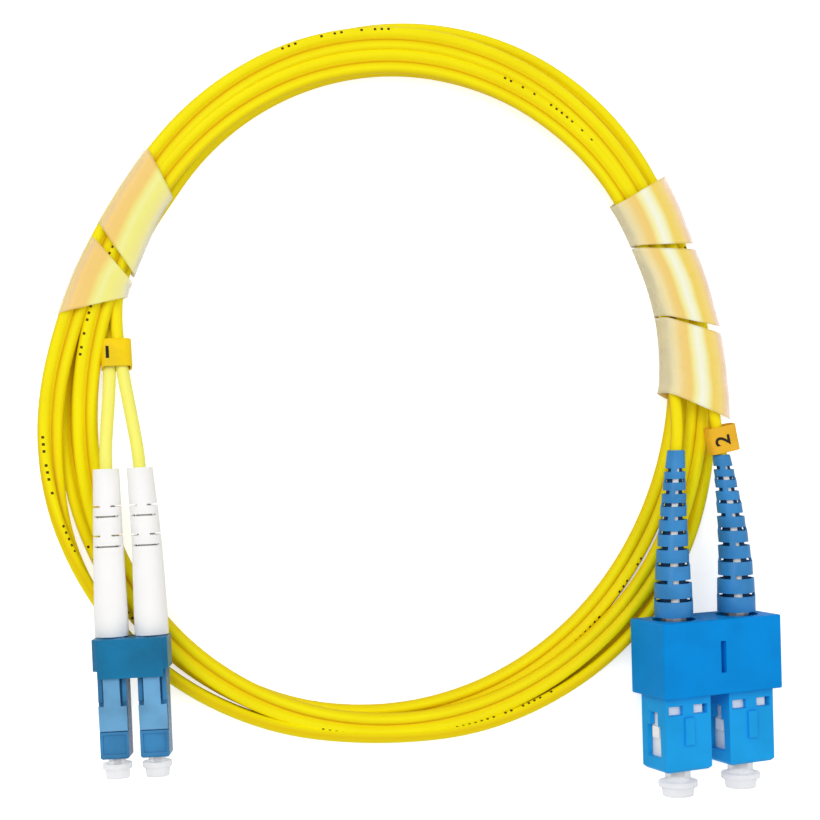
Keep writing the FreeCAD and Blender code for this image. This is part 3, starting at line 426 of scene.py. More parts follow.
def finish_object(name: str, bm: BMesh, finish: Finish, smooth: bool = True, node: str = "",
                  slot: str = "") -> Object:
    """Turns a bmesh into an object at the origin, on the body that it rides.

    Args:
        name: The object's name.
        bm: The mesh, in metres in the model's frame.
        finish: Its finish.
        smooth: Whether its faces are shaded smooth.
        node: The solid that it stands for, if any, whose body it rides.
        slot: Not used.

    Returns:
        The object.
    """
    for face in bm.faces:
        face.smooth = smooth
    made = put(name, bm)
    made.data.materials.append(finish.build())
    if node:
        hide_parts(node)
    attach(made, frame["nodes"][node]["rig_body"] if node else ROOT)
    LOG.info("%s", name)
    return made


def harden(made: Object, wall: float = 0.0, edge: float = 0.0, angle: float = 30.0) -> None:
    """Gives a sheet a wall and soft edges.

    Args:
        made: The object.
        wall: The wall's thickness in millimetres.
        edge: The soft edges' width in millimetres.
        angle: The angle in degrees from which an edge is soft.
    """
    if wall:
        solid = made.modifiers.new("wall", "SOLIDIFY")
        solid.thickness, solid.offset = wall * MM, -1.0
    if edge:
        soft = made.modifiers.new("soft_edge", "BEVEL")
        soft.width, soft.segments, soft.limit_method = edge * MM, 2, "ANGLE"
        soft.angle_limit = radians(angle)


def tube(radius: float, start: float, hoops: Pairs, sides: int,
         widening: float = 0.0) -> BMesh:
    """Draws out a tube hoop by hoop.

    Args:
        radius: The first hoop's radius.
        start: Its height.
        hoops: Rise and radius of each later hoop.
        sides: The tube's sides.
        widening: How much a hoop is wider than the last, if not as its radius.

    Returns:
        The open mesh.
    """
    bm = bmesh.new()
    bmesh.ops.create_circle(bm, cap_ends=False, radius=radius, segments=sides)
    bmesh.ops.translate(bm, vec=(0.0, 0.0, start), verts=bm.verts)
    edges = list(bm.edges)
    for rise, wanted in hoops:
        grown = bmesh.ops.extrude_edge_only(bm, edges=edges)["geom"]
        verts = [part for part in grown if isinstance(part, BMVert)]
        edges = [part for part in grown if isinstance(part, BMEdge)]
        bmesh.ops.scale(bm, vec=(widening or wanted / radius, wanted / radius, 1.0), verts=verts)
        bmesh.ops.translate(bm, vec=(0.0, 0.0, rise), verts=verts)
        radius = wanted
    return bm


def spline_points(name: str, points: Sequence[Vector]) -> list[Vector]:
    """Points read from the open spline that a route's points control.

    Args:
        name: A name for the passing curve.
        points: The route's points in the drawing's frame.

    Returns:
        The points along the smooth line, in metres.
    """
    curve = bpy.data.curves.new(name, "CURVE")
    curve.dimensions = "3D"
    spline = curve.splines.new("NURBS")
    spline.points.add(len(points) - 1)
    for held, point in zip(spline.points, points):
        held.co = (*metres(point), 1.0)
    spline.order_u, spline.resolution_u, spline.use_endpoint_u = 3, 10, True
    mesh = mesh_of(curve)
    line = [vertex.co.copy() for vertex in mesh.vertices]
    bpy.data.curves.remove(curve)
    bpy.data.meshes.remove(mesh)
    return line


def mesh_of(curve: bpy.types.Curve) -> bpy.types.Mesh:
    """Makes the mesh of a curve or a text.

    Args:
        curve: The curve or text.

    Returns:
        The mesh.
    """
    holder = put(curve.name, curve)
    bpy.context.view_layer.update()
    mesh = bpy.data.meshes.new_from_object(holder)
    bpy.data.objects.remove(holder)
    return mesh


def sweep(line: Sequence[Vector], outline: Pairs,
          lean: Callable[[float], float] = lambda share: 0.0) -> BMesh:
    """Carries an outline along a line.

    Args:
        line: Points of the line in metres.
        outline: The section, across and up, in millimetres.
        lean: The section's turn on the line in radians, by the share of the line.

    Returns:
        The closed mesh.
    """
    bm = bmesh.new()
    travelled, rings, distances = 0.0, [], []
    for number, middle in enumerate(line):
        before, after = line[max(0, number - 1)], line[min(len(line) - 1, number + 1)]
        heading = (after - before).normalized()
        aside = UP.cross(heading).normalized()
        up = heading.cross(aside)
        turn = lean(number / (len(line) - 1))
        across = aside * cos(turn) + up * sin(turn)
        upward = up * cos(turn) - aside * sin(turn)
        rings.append([bm.verts.new(middle + across * x * MM + upward * y * MM) for x, y in outline])
        if number:
            travelled += (middle - line[number - 1]).length
        distances.append(travelled)
    count = len(outline)
    skin(bm, "jacket", rings, distances, [corner / count for corner in range(count + 1)])
    bm.faces.new(list(reversed(rings[0])))
    bm.faces.new(rings[-1])
    bmesh.ops.recalc_face_normals(bm, faces=bm.faces)
    return bm


def skin(bm: BMesh, name: str, rings: Sequence[Sequence[BMVert]],
         places: Sequence[float], shares: Sequence[float]) -> None:
    """Joins rings of points by faces that carry a map.

    Args:
        bm: The mesh with the points.
        name: The map's name.
        rings: The rings.
        places: Each ring's place along.
        shares: Each corner's share round, with the first again at the end.
    """
    layer = bm.loops.layers.uv.get(name) or bm.loops.layers.uv.new(name)
    for here, there, near, far in zip(rings, rings[1:], places, places[1:]):
        for corner, (low, high) in enumerate(zip(shares, shares[1:])):
            after = (corner + 1) % len(here)
            face = bm.faces.new((here[corner], here[after], there[after], there[corner]))
            for loop, place in zip(face.loops, ((near, low), (near, high), (far, high), (far, low))):
                loop[layer].uv = place


@dataclass
class PlugFrame:
    """A pair of plugs: x across the pair, y up through it, z to its nose."""

    kind: str
    place: Triple
    yaw: float
    pitch: float
    roll: float
    # half the distance between the plugs
    aside: float
    # how far aside each boot's tail is bowed, and how far it reaches behind the clip, by plug
    bows: dict[int, float]
    lengths: dict[int, float]
    # heights of the points of a jacket's route in and behind its boot
    in_boot: tuple[float, ...]
    # how far behind the clip the boots are straight
    stiff: float = 8.0

    def matrix(self) -> Matrix:
        """The turn and shift from the connector's frame to the drawing's."""
        turn = Matrix.Rotation(radians(self.yaw), 4, "Z")
        tip = Matrix.Rotation(radians(-self.pitch), 4, "X")
        lean = Matrix.Rotation(radians(self.roll), 4, "Y")
        lie = Matrix.Rotation(radians(90), 4, "X")
        return Matrix.Translation(Vector(self.place)) @ turn @ tip @ lean @ lie

    def across(self, number: int, along: float) -> float:
        """How far across the middle line of a plug, its boot and its jacket lies.

        Args:
            number: The plug.
            along: The height, negative behind the clip.

        Returns:
            The distance from the pair's middle in millimetres.
        """
        bow = self.bows[number] * max(0.0, (-along - self.stiff) / (self.lengths[number] - self.stiff)) ** 1.5
        return (self.aside if number == 2 else -self.aside) + bow

    def middle(self, number: int, along: float) -> Vector:
        """A point of a plug's middle line in the drawing's frame, in millimetres."""
        return self.matrix() @ Vector((self.across(number, along), 0.0, along))

    def settle(self, bm: BMesh, number: int) -> None:
        """Moves a mesh from a plug's own frame to the model's, along the plug's middle line.

        Args:
            bm: The mesh, in millimetres before and metres after.
            number: The plug.
        """
        turn = self.matrix()
        for vert in bm.verts:
            vert.co = metres(turn @ (vert.co + Vector((self.across(number, vert.co.z), 0.0, 0.0))))
        bmesh.ops.recalc_face_normals(bm, faces=bm.faces)


SMALL_PAIR = PlugFrame("lc", (-46.8, -34.9, 9.6), 2.4, 2.0, -11.0, 3.125, {1: 0.2, 2: -0.75}, {1: 25.8, 2: 25.8},
                       (-29.3, -26.5, -20.0, -12.0, -3.5))
LARGE_PAIR = PlugFrame("sc", (49.6, -35.0, 7.71), 1.5, 0.0, 13.0, 6.35, {1: 1.25, 2: -2.35}, {1: 28.4, 2: 27.3},
                       (-32.5, -29.0, -21.0, -12.0, -4.0))


# Camera, floor and light


@dataclass
class PhotoCamera:
    """The photograph's view: from above, a little from the left."""

    lean: float = 12.0
    distance: float = 300.0
    pixels_per_mm: float = 5.95
    image_width: float = 820.0

    def build(self) -> None:
        """Makes the camera and sets it as the scene's."""
        lean = radians(self.lean)
        away = Vector((-sin(lean), 0.0, cos(lean)))
        right = Vector((cos(lean), 0.0, sin(lean)))
        data = bpy.data.cameras.new("photo_camera")
        data.sensor_width = 36.0
        data.lens = self.pixels_per_mm * self.distance * data.sensor_width / self.image_width
        data.clip_start = 0.01
        camera = put(data.name, data)
        camera.location = metres(away * self.distance)
        camera.rotation_euler = Matrix((right, away.cross(right), away)).transposed().to_euler()
        bpy.context.scene.camera = camera


@dataclass
class Studio:
    """A white table, a white surround and soft lamps."""

    floor_size: float = 6.0
    surround: float = 0.46
    floor_glow: float = 0.55
    floor_drop: float = 0.00002
    # place and width in metres, and power in watts
    lamps: tuple[tuple[Triple, float, float], ...] = (
        ((-0.35, 0.35, 0.65), 0.50, 2.6),
        ((0.45, 0.10, 0.70), 0.60, 1.2),
        ((0.00, -0.55, 0.50), 0.50, 0.8),
    )

    def build(self) -> None:
        """Makes the floor, the world and the lamps."""
        self.build_floor()
        self.build_world()
        for number, (place, width, power) in enumerate(self.lamps):
            data = bpy.data.lights.new(f"softbox_{number}", "AREA")
            data.size, data.energy = width, power
            lamp = put(data.name, data)
            lamp.location = place
            lamp.rotation_euler = Vector(place).to_track_quat("Z", "Y").to_euler()

    def build_floor(self) -> None:
        """Makes the white floor, which shows white to the camera and keeps soft shadows."""
        bm = bmesh.new()
        bmesh.ops.create_grid(bm, x_segments=1, y_segments=1, size=self.floor_size / 2)
        bmesh.ops.translate(bm, vec=(0, 0, -self.floor_drop), verts=bm.verts)
        floor = put("floor", bm)
        material = bpy.data.materials.new("white_floor")
        material.use_nodes = True
        wires = Wiring(material.node_tree)
        glow = wires.maths("MULTIPLY", wires.add("LightPath", {}).outputs["Is Camera Ray"], self.floor_glow)
        wires.shade({
            "Base Color": (0.93, 0.93, 0.93, 1.0), "Roughness": 0.8, "Emission Color": (1.0, 1.0, 1.0, 1.0),
            "Emission Strength": glow})
        floor.data.materials.append(material)

    def build_world(self) -> None:
        """Lights the room evenly and shows white to the camera, glossy and clear surfaces."""
        world = bpy.data.worlds.new("white_room")
        bpy.context.scene.world = world
        world.use_nodes = True
        wires = Wiring(world.node_tree)
        rays = wires.add("LightPath", {}).outputs
        seen = wires.maths("MAXIMUM", rays["Is Camera Ray"], rays["Is Glossy Ray"])
        seen = wires.maths("MAXIMUM", seen, rays["Is Transmission Ray"])
        wires.feed(world.node_tree.nodes["Background"], {
            "Color": (1.0, 1.0, 1.0, 1.0), "Strength": wires.spread(seen, self.surround, 1.0)})


# The cord


def ease(value: float, low: float, high: float) -> float:
    """0 before a stretch, 1 after it and smooth between."""
    share = min(1.0, max(0.0, (value - low) / (high - low)))
    return share * share * (3.0 - 2.0 * share)


def during(value: float, begins: float, whole: float, ends: float, over: float) -> float:
    """1 in a stretch, 0 before it begins and when it is over, and smooth between."""
    return ease(value, begins, whole) * (1.0 - ease(value, ends, over))


@dataclass
class Ring:
    """The coil's route, as it was wound and as it lies in the photograph."""

    centre: tuple[float, float] = (-2.95, 4.51)
    inner_half_width: float = 49.1
    extra_half_height: float = 2.5
    oval: float = 1.37
    oval_tilt: float = 62.4
    step: float = 4.6
    start_angle: float = 150.0
    end_angle: float = 24.0
    whole_turns: int = 3
    points_per_turn: int = 18
    floor_level: float = 1.56
    layer: float = 2.5
    half_width: float = 2.05
    edge_rise: float = 0.56
    # degrees of winding over which the upper passes slide in and out, with how far, and the cord stands on its edge
    inward: tuple[float, ...] = (755.0, 800.0, 830.0, 870.0)
    outward: tuple[float, ...] = (870.0, 905.0, 950.0, 985.0)
    furthest_in: float = 2.0
    furthest_out: float = 1.9
    upright: tuple[float, ...] = (520.0, 574.0, 655.0, 690.0)
    # degrees on either side of halfway over which the cord climbs to its upper layer
    climb: float = 90.0
    # how far the pair goes straight on past the winding's ends
    lead: float = 2.1
    # degrees past the ends for which the bundle is still as wide
    spare: float = 40.0
    # angle, shift of the inner side, shift of the outer side
    shifts: tuple[Triple, ...] = (
        (0, 0.6, -0.7), (12, 0.6, -2.0), (24, 0.1, -2.3), (36, -0.1, -1.3), (48, -0.7, 0.3), (60, -0.9, 1.0),
        (72, -0.6, 1.1), (84, -0.2, 0.9), (96, 0.4, -0.5), (108, 0.6, -0.7), (120, 0.9, -1.1), (132, 0.7, -1.7),
        (144, 0.8, -2.6), (156, 0.4, -2.4), (168, 0.4, -1.0), (176, 0.2, 0.5), (184, 0.1, 1.5), (192, 0.5, 2.1),
        (204, 1.0, 2.4), (216, 1.5, 1.6), (228, 2.2, 0.5), (240, 2.8, -0.7), (252, 2.6, -2.1), (264, 2.0, -3.1),
        (276, 1.5, -2.5), (288, 0.0, -0.6), (300, -0.8, 0.9), (312, -1.1, 1.9), (324, -1.2, 2.6), (336, -1.4, 2.8),
        (348, -0.6, 1.2),
    )

    @property
    def travel(self) -> float:
        """Degrees of winding from the small pair's end to the large pair's."""
        return 360.0 * self.whole_turns + self.start_angle - self.end_angle

    @property
    def outermost(self) -> float:
        """Mean distance of the cord's middle from the ring's, where it lies furthest out."""
        return self.inner_half_width + self.step * self.travel / 720.0

    def reach(self, travelled: float) -> float:
        """How far out the cord's middle is, as it was wound."""
        return self.inner_half_width + self.step * min(travelled, self.travel - travelled) / 360.0

    def shift(self, angle: float, reach: float) -> float:
        """How much further out the cord lies than it was wound.

        Args:
            angle: The angle round the ring in degrees.
            reach: How far out it was wound, as a mean distance.

        Returns:
            The shift in millimetres.
        """
        angle, share = angle % 360.0, (reach - self.inner_half_width) / (self.outermost - self.inner_half_width)
        rows = (*self.shifts, (self.shifts[0][0] + 360.0, *self.shifts[0][1:]))
        for (low, *near), (high, *far) in zip(rows, rows[1:]):
            if low <= angle < high:
                inner, outer = between(near, far, (angle - low) / (high - low))
                return inner + (outer - inner) * share
        return 0.0

    def slide(self, travelled: float) -> float:
        """How far the upper passes lie to one side of their turn, in millimetres."""
        return (self.furthest_out * during(travelled, *self.outward)
                - self.furthest_in * during(travelled, *self.inward))

    def on_edge(self, travelled: float) -> float:
        """How far the flat cord is turned on its edge, from 0 to 1."""
        return during(travelled, *self.upright)

    def at(self, angle: float, reach: float, height: float) -> Vector:
        """A point of the oval ring.

        Args:
            angle: The angle round the ring in degrees.
            reach: Mean distance from its middle.
            height: Height over the floor.

        Returns:
            The point in the drawing's frame.
        """
        turn = radians(angle)
        away = reach + self.oval * cos(2.0 * (turn - radians(self.oval_tilt)))
        across = self.centre[0] + away * cos(turn)
        return Vector((across, self.centre[1] + (away + self.extra_half_height) * sin(turn), height))

    def place(self, travelled: float) -> Vector:
        """The cord's middle in the drawing's frame, in millimetres.

        Args:
            travelled: Degrees of winding from the small pair's end.

        Returns:
            The point.
        """
        angle, reach = self.start_angle - travelled, self.reach(travelled)
        slide, on_edge = self.slide(travelled), self.on_edge(travelled)
        halfway = self.travel / 2
        level = self.layer * ease(travelled, halfway - self.climb, halfway + self.climb)
        level = self.floor_level + max(level, self.edge_rise * on_edge) - 0.5 * max(0.0, slide)
        slimmer = (self.half_width - 1.0) * on_edge
        return self.at(angle, reach + self.shift(angle, reach) + slimmer + slide, level)

    def heading(self, travelled: float) -> Vector:
        """The way the winding goes, as it was wound.

        Args:
            travelled: Degrees of winding from the small pair's end.

        Returns:
            The direction.
        """
        straight = Ring(shifts=((0.0, 0.0, 0.0),))
        ahead, behind = min(travelled + 0.05, self.travel), max(travelled - 0.05, 0.0)
        return (straight.place(ahead) - straight.place(behind)).normalized()

    def ends(self) -> tuple[Vector, Vector, Vector, Vector]:
        """The two ends where the jackets part, and the ways they leave.

        Returns:
            The small pair's end and heading, then the large pair's.
        """
        first, last = -self.heading(0.0), self.heading(self.travel)
        return self.place(0.0) + first * self.lead, first, self.place(self.travel) + last * self.lead, last

    def route(self) -> list[Vector]:
        """The control points of the whole coil in the drawing's frame."""
        start, _, end, _ = self.ends()
        steps = round(self.travel / 360.0 * self.points_per_turn)
        middle = Vector((*self.centre, 0.0))
        swell = 1.0 / cos(pi / self.points_per_turn)
        points = [self.place(self.travel * step / steps) for step in range(steps + 1)]
        for point in points[1:-1]:
            point.x = middle.x + (point.x - middle.x) * swell
            point.y = middle.y + (point.y - middle.y) * swell
        return [start] + points + [end]

    def edges(self, angle: float) -> tuple[float, float]:
        """How far in and out the bundle's jackets reach.

        Args:
            angle: The angle round the ring in degrees.

        Returns:
            The inner and the outer mean distance.
        """
        reaches = []
        travelled = (self.start_angle - angle) % 360.0
        for turn in range(-1, self.whole_turns + 2):
            wound = travelled + 360.0 * turn
            if -self.spare <= wound <= self.travel + self.spare:
                reach = self.reach(min(self.travel, max(0.0, wound)))
                reaches.append(reach + self.shift(angle, reach))
        return min(reaches) - self.half_width, max(reaches) + self.half_width


@dataclass
class ZipCord:
    """Two round jackets side by side, joined by a web, in one coil."""

    ring: Ring
    jacket: float = 1.0
    spacing: float = 2.1
    web: float = 0.36
    segments: int = 14

    def section(self) -> list[tuple[float, float]]:
        """The outline of the cord's cut face, across and up, in millimetres."""
        apart = self.spacing / 2
        notch = asin(self.web / self.jacket)
        outline = []
        for side in (1, -1):
            for step in range(self.segments):
                share = step / (self.segments - 1)
                angle = -pi + notch + share * (2 * pi - 2 * notch)
                outline.append((side * (apart + self.jacket * cos(angle)), side * self.jacket * sin(angle)))
        return outline

    def build(self) -> None:
        """Sweeps the section along the spline, turning it on edge where the cord stands so."""
        line = spline_points("coil_line", self.ring.route())
        bm = sweep(line, self.section(),
                         lambda share: radians(90.0 * self.ring.on_edge(self.ring.travel * share)))
        made = finish_object("coiled_cord", bm, JACKET, node="zip_cord", slot="yellow_jacket")


@dataclass
class SplitEnds:
    """The four single jackets between the coil and the plugs, as the part's drawing has them."""

    ring: Ring
    radius: float = 1.0
    segments: int = 20
    spacing: float = 2.1
    lead: float = 3.0
    # points on the way from the coil to the boots, by pair and plug
    ways: dict[str, dict[int, tuple[Triple, ...]]] = field(default_factory=lambda: {
        "lc": {1: ((-49.5, 19.4, 1.5), (-50.2, 12.6, 1.7), (-49.95, 4.9, 4.8)),
               2: ((-48.9, 19.4, 3.4), (-49.0, 12.6, 3.1), (-47.75, 4.9, 4.9))},
        "sc": {1: ((43.9, 13.2, 4.1), (44.6, 5.8, 5.4)), 2: ((46.2, 14.6, 5.6), (50.2, 7.5, 7.2))}})

    def build(self) -> None:
        """Makes all four."""
        start, first, end, last = self.ring.ends()
        for number in (1, 2):
            self.build_one(SMALL_PAIR, number, self.parting(start, first, number), LEG)
            self.build_one(LARGE_PAIR, number, self.parting(end, last, number), SINGLE)

    def build_one(self, pair: PlugFrame, number: int, route: list[Vector], finish: Finish) -> None:
        """Makes one jacket round the spline on its route's points.

        Args:
            pair: The pair's place.
            number: The plug.
            route: The jacket's first points.
            finish: The jacket's finish.
        """
        route += [Vector(point) for point in self.ways[pair.kind][number]]
        route += [pair.middle(number, along) for along in pair.in_boot]
        name = f"{pair.kind}_leg_{number}"
        line = spline_points(name + "_line", route)
        outline = []
        for step in range(self.segments):
            angle = -pi + 2.0 * pi * step / self.segments
            outline.append((self.radius * cos(angle), self.radius * sin(angle)))
        made = finish_object(name, sweep(line, outline), finish, node=f"{pair.kind}_split_end_{number}",
                             slot="yellow_jacket")

    def parting(self, start: Vector, heading: Vector, number: int) -> list[Vector]:
        """The first two points, where one jacket leaves the pair.

        Args:
            start: The end of the pair.
            heading: The way it leaves.
            number: The plug.

        Returns:
            The points.
        """
        side = -1.0 if number == 1 else 1.0
        aside = UP.cross(heading).normalized() * side * self.spacing / 2
        return [start + aside, start + aside + heading * self.lead]


# Film and tags


@dataclass
class FilmWrap:
    """Film wound round the bundle in slanted turns."""

    name: str
    node: str
    ring: Ring
    # each turn's upper and lower edge: its angle inside the ring and outside, and its height
    turns: tuple[tuple[Triple, Triple], ...]
    finish: FilmFinish
    proud_inside: float = 0.2
    proud_outside: float = 0.6
    floor: float = 0.05
    sides: int = 48
    steps: int = 24
    blunt: float = 0.42
    blunt_below: float = 0.75
    # how much each turn is pulled in at its middle, and the height and count of its ripples
    pull: float = 0.04
    ripple: float = 0.03
    ripples: float = 5.0

    def crosswise(self, angle: float) -> float:
        """Where a point of the hoop lies between its inner side, -1, and its outer, 1."""
        blunt = self.blunt if sin(angle) > -1e-6 else self.blunt_below
        return copysign(abs(cos(angle)) ** blunt, cos(angle))

    def hoop(self, turn: tuple[Triple, Triple], share: float) -> list[Vector]:
        """One hoop of the film.

        Args:
            turn: The turn that it belongs to.
            share: How far it is from the turn's upper edge to its lower.

        Returns:
            The hoop's points in the drawing's frame, from its outer side over the top.
        """
        inner, outer, top = between(*turn, share)
        near = self.ring.at(inner, self.ring.edges(inner)[0] - self.proud_inside, 0.0)
        far = self.ring.at(outer, self.ring.edges(outer)[1] + self.proud_outside, 0.0)
        middle, reach = (top + self.floor) / 2.0, (top - self.floor) / 2.0
        pull = 1.0 - self.pull * sin(pi * share)
        points = []
        for step in range(self.sides):
            angle = 2.0 * pi * step / self.sides
            y = copysign(abs(sin(angle)) ** self.blunt, sin(angle))
            wave = self.ripple * sin(self.ripples * angle + outer * 0.3)
            height = middle + reach * y * pull + (wave if y > 0.3 else 0.0)
            flat = near + (far - near) * (0.5 + 0.5 * self.crosswise(angle))
            points.append(Vector((flat.x, flat.y, max(self.floor, height))))
        return points

    def build(self) -> None:
        """Makes the film with a thin wall."""
        bm = bmesh.new()
        shares = [0.5 + 0.5 * self.crosswise(2.0 * pi * side / self.sides) for side in range(self.sides)]
        places = [step / self.steps for step in range(self.steps + 1)]
        for number, turn in enumerate(self.turns):
            rows = [[bm.verts.new(metres(point)) for point in self.hoop(turn, place)] for place in places]
            skin(bm, "film", rows, [number + place for place in places], shares + shares[:1])
        bmesh.ops.recalc_face_normals(bm, faces=bm.faces)
        harden(finish_object(self.name, bm, self.finish, node=self.node, slot="film"), wall=0.1)


@dataclass
class NumberTag:
    """A flat sleeve round one or two jackets."""

    name: str
    node: str
    middle: Vector
    heading: Vector
    width: float
    finish: Finish
    height: float = 3.1
    length: float = 5.0
    wall: float = 0.3
    digit: str = ""
    bar: bool = False

    def axes(self) -> Matrix:
        """Columns across the tag, up through it and along it."""
        along = self.heading.normalized()
        across = UP.cross(along).normalized()
        return Matrix((across, along.cross(across), along)).transposed()

    def settle(self, name: str, bm: BMesh, where: Callable[[Vector], Vector], finish: Finish,
               **known: "str | bool") -> Object:
        """Moves a mesh to the tag and makes it an object.

        Args:
            name: The object's name.
            bm: The mesh.
            where: Where a point of it lies on the tag.
            finish: Its finish.
            known: What else finish_object is told.

        Returns:
            The object.
        """
        axes = self.axes()
        for vert in bm.verts:
            vert.co = metres(self.middle + axes @ where(vert.co))
        bmesh.ops.recalc_face_normals(bm, faces=bm.faces)
        return finish_object(name, bm, finish, **known)

    def build(self) -> None:
        """Makes the sleeve and what is printed on it."""
        bm = bmesh.new()
        bmesh.ops.create_cube(bm, size=1.0)
        bmesh.ops.scale(bm, vec=(self.width, self.height, self.length), verts=bm.verts)
        ends = [face for face in bm.faces if abs(face.normal.z) > 0.9]
        long_edges = self.along(bm)
        bmesh.ops.delete(bm, geom=ends, context="FACES_ONLY")
        bmesh.ops.bevel(bm, geom=long_edges, offset=self.height * 0.3, offset_type="OFFSET", segments=4, profile=0.5,
                        affect="EDGES", material=-1)
        bmesh.ops.subdivide_edges(bm, edges=self.along(bm), cuts=5, use_grid_fill=True)
        made = self.settle(self.name, bm, lambda co: co + Vector((0, 0.05 * sin(co.x * 2.1 + co.z * 1.3), 0)),
                           self.finish, node=self.node)
        harden(made, wall=self.wall, edge=0.06)
        if self.digit:
            self.build_digit()
        if self.bar:
            self.build_bar()

    @staticmethod
    def along(bm: BMesh) -> list[BMEdge]:
        """The edges of a mesh that don't lie crosswise."""
        return [edge for edge in bm.edges if abs((edge.verts[0].co - edge.verts[1].co).z) > 1e-6]

    def build_bar(self) -> None:
        """Prints a plain dark bar by the tag's left edge."""
        bm = bmesh.new()
        bmesh.ops.create_cube(bm, size=1.0)
        left, top = 0.95 - self.width / 2, self.height / 2 + 0.01
        self.settle(self.name + "_bar", bm, lambda co: Vector((0.5 * co.x + left, 0.10 * co.y + top, 2.0 * co.z)),
                    PRINT, smooth=False)

    def build_digit(self) -> None:
        """Prints the digit on the upper face, turned a quarter."""
        data = bpy.data.curves.new(self.name + "_digit", "FONT")
        data.body, data.size, data.extrude, data.offset = self.digit, 3.7, 0.02, 0.06
        data.align_x = data.align_y = "CENTER"
        bm = bmesh.new()
        bm.from_mesh(mesh_of(data))
        top = self.height / 2 + 0.03
        self.settle(self.name + "_digit", bm, lambda co: Vector((-0.3 - co.y, top + co.z, 0.1 - co.x)),
                    PRINT, smooth=False)


# Plugs


@dataclass
class Boot:
    """The bend relief of a plug: a tapered tube with slots that alternate by a quarter turn."""

    pair: PlugFrame
    number: int
    base_diameter: float
    tail_diameter: float
    front: float
    stations: tuple[float, ...]
    slot_width: float
    finish: Finish
    collar: float = 3.2
    wall: float = 0.42
    rib: float = 0.55
    # degrees that the slots are turned, and that every second one is turned further
    turned: float = 0.0
    odd_turned: float = 0.0
    step: float = 0.0
    lining_tail: float = 1.02
    lining_base: float = 2.0
    # finish of a dark sleeve of painted shade inside the skin, if the boot has one
    shade_sleeve: Optional[Finish] = None
    sides: int = 64

    @property
    def length(self) -> float:
        """The boot's length behind the clip."""
        return self.pair.lengths[self.number]

    def radius(self, along: float) -> float:
        """The outer radius, narrower by a small step behind each slot.

        Args:
            along: The height.

        Returns:
            The radius.
        """
        start, end = -self.length, self.front - self.collar
        share = min(1.0, max(0.0, (along - start) / (end - start)))
        plain = (self.tail_diameter + (self.base_diameter - self.tail_diameter) * share) / 2.0
        pitch_share = 0.0
        for rear, front in zip(self.stations[1:], self.stations):
            if -rear <= along <= -front:
                pitch_share = 0.5 - (along + rear) / (rear - front)
        return plain + self.step * pitch_share

    def levels(self) -> list[float]:
        """Heights of the boot's hoops from its tail to its front."""
        half = self.slot_width / 2.0
        levels = {-self.length, -self.length + 0.12, self.front - self.collar, self.front}
        for station in self.stations:
            levels |= {-station - half, -station + half}
        return sorted(levels)

    def in_slot(self, place: Vector) -> bool:
        """Whether a point of the tube's skin lies in a slot.

        Args:
            place: The point.

        Returns:
            Whether it does.
        """
        for number, station in enumerate(self.stations):
            if abs(place.z + station) < self.slot_width / 2.0:
                turn = radians(self.turned + (0.0 if number % 2 == 0 else self.odd_turned))
                upward = place.y * cos(turn) - place.x * sin(turn)
                across = place.x * cos(turn) + place.y * sin(turn)
                return abs(upward if number % 2 == 0 else across) > self.rib
        return False

    def build(self) -> None:
        """Makes the boot's slotted skin, the pale sleeve that its slots show and, if it has one, a dark sleeve of
        painted shade behind them.
        """
        name, levels = f"{self.pair.kind}_boot_{self.number}", self.levels()
        hoops = [(there - here, self.radius(there)) for here, there in zip(levels, levels[1:])]
        bm = tube(self.radius(levels[0]) - 0.1, levels[0], hoops, self.sides)
        cut = [face for face in bm.faces if self.in_slot(face.calc_center_median())]
        bmesh.ops.delete(bm, geom=cut, context="FACES")
        self.pair.settle(bm, self.number)
        made = finish_object(name + "_rubber", bm, self.finish, node=name)
        harden(made, wall=self.wall, edge=0.06, angle=40.0)
        made.data.shade_smooth()
        self.sleeve(name + "_lining", LINING, self.lining_base, self.shade_sleeve is not None)
        # a dark sleeve of painted shade inside the boot, which its slots show beside the pale lining
        if self.shade_sleeve is not None:
            self.sleeve(name + "_core", self.shade_sleeve, self.lining_base - 0.3, False)

    def sleeve(self, name: str, finish: Finish, base: float, slim: bool) -> None:
        """Makes a tapered sleeve inside the boot.

        Args:
            name: The sleeve's name.
            finish: Its finish.
            base: Its radius at the front in millimetres.
            slim: Whether it hardly grows in width, only in height.
        """
        reach, cuts, tail = self.length + self.front - 0.6, 12, self.lining_tail
        hoops = [(reach / cuts, tail + (base - tail) * step / cuts) for step in range(1, cuts + 1)]
        bm = tube(tail, 0.3 - self.length, hoops, 32, 1.025 if slim else 0.0)
        turn = Matrix.Rotation(radians(self.turned), 3, "Z")
        bmesh.ops.rotate(bm, cent=(0, 0, 0), matrix=turn, verts=bm.verts)
        self.pair.settle(bm, self.number)
        finish_object(name, bm, finish)


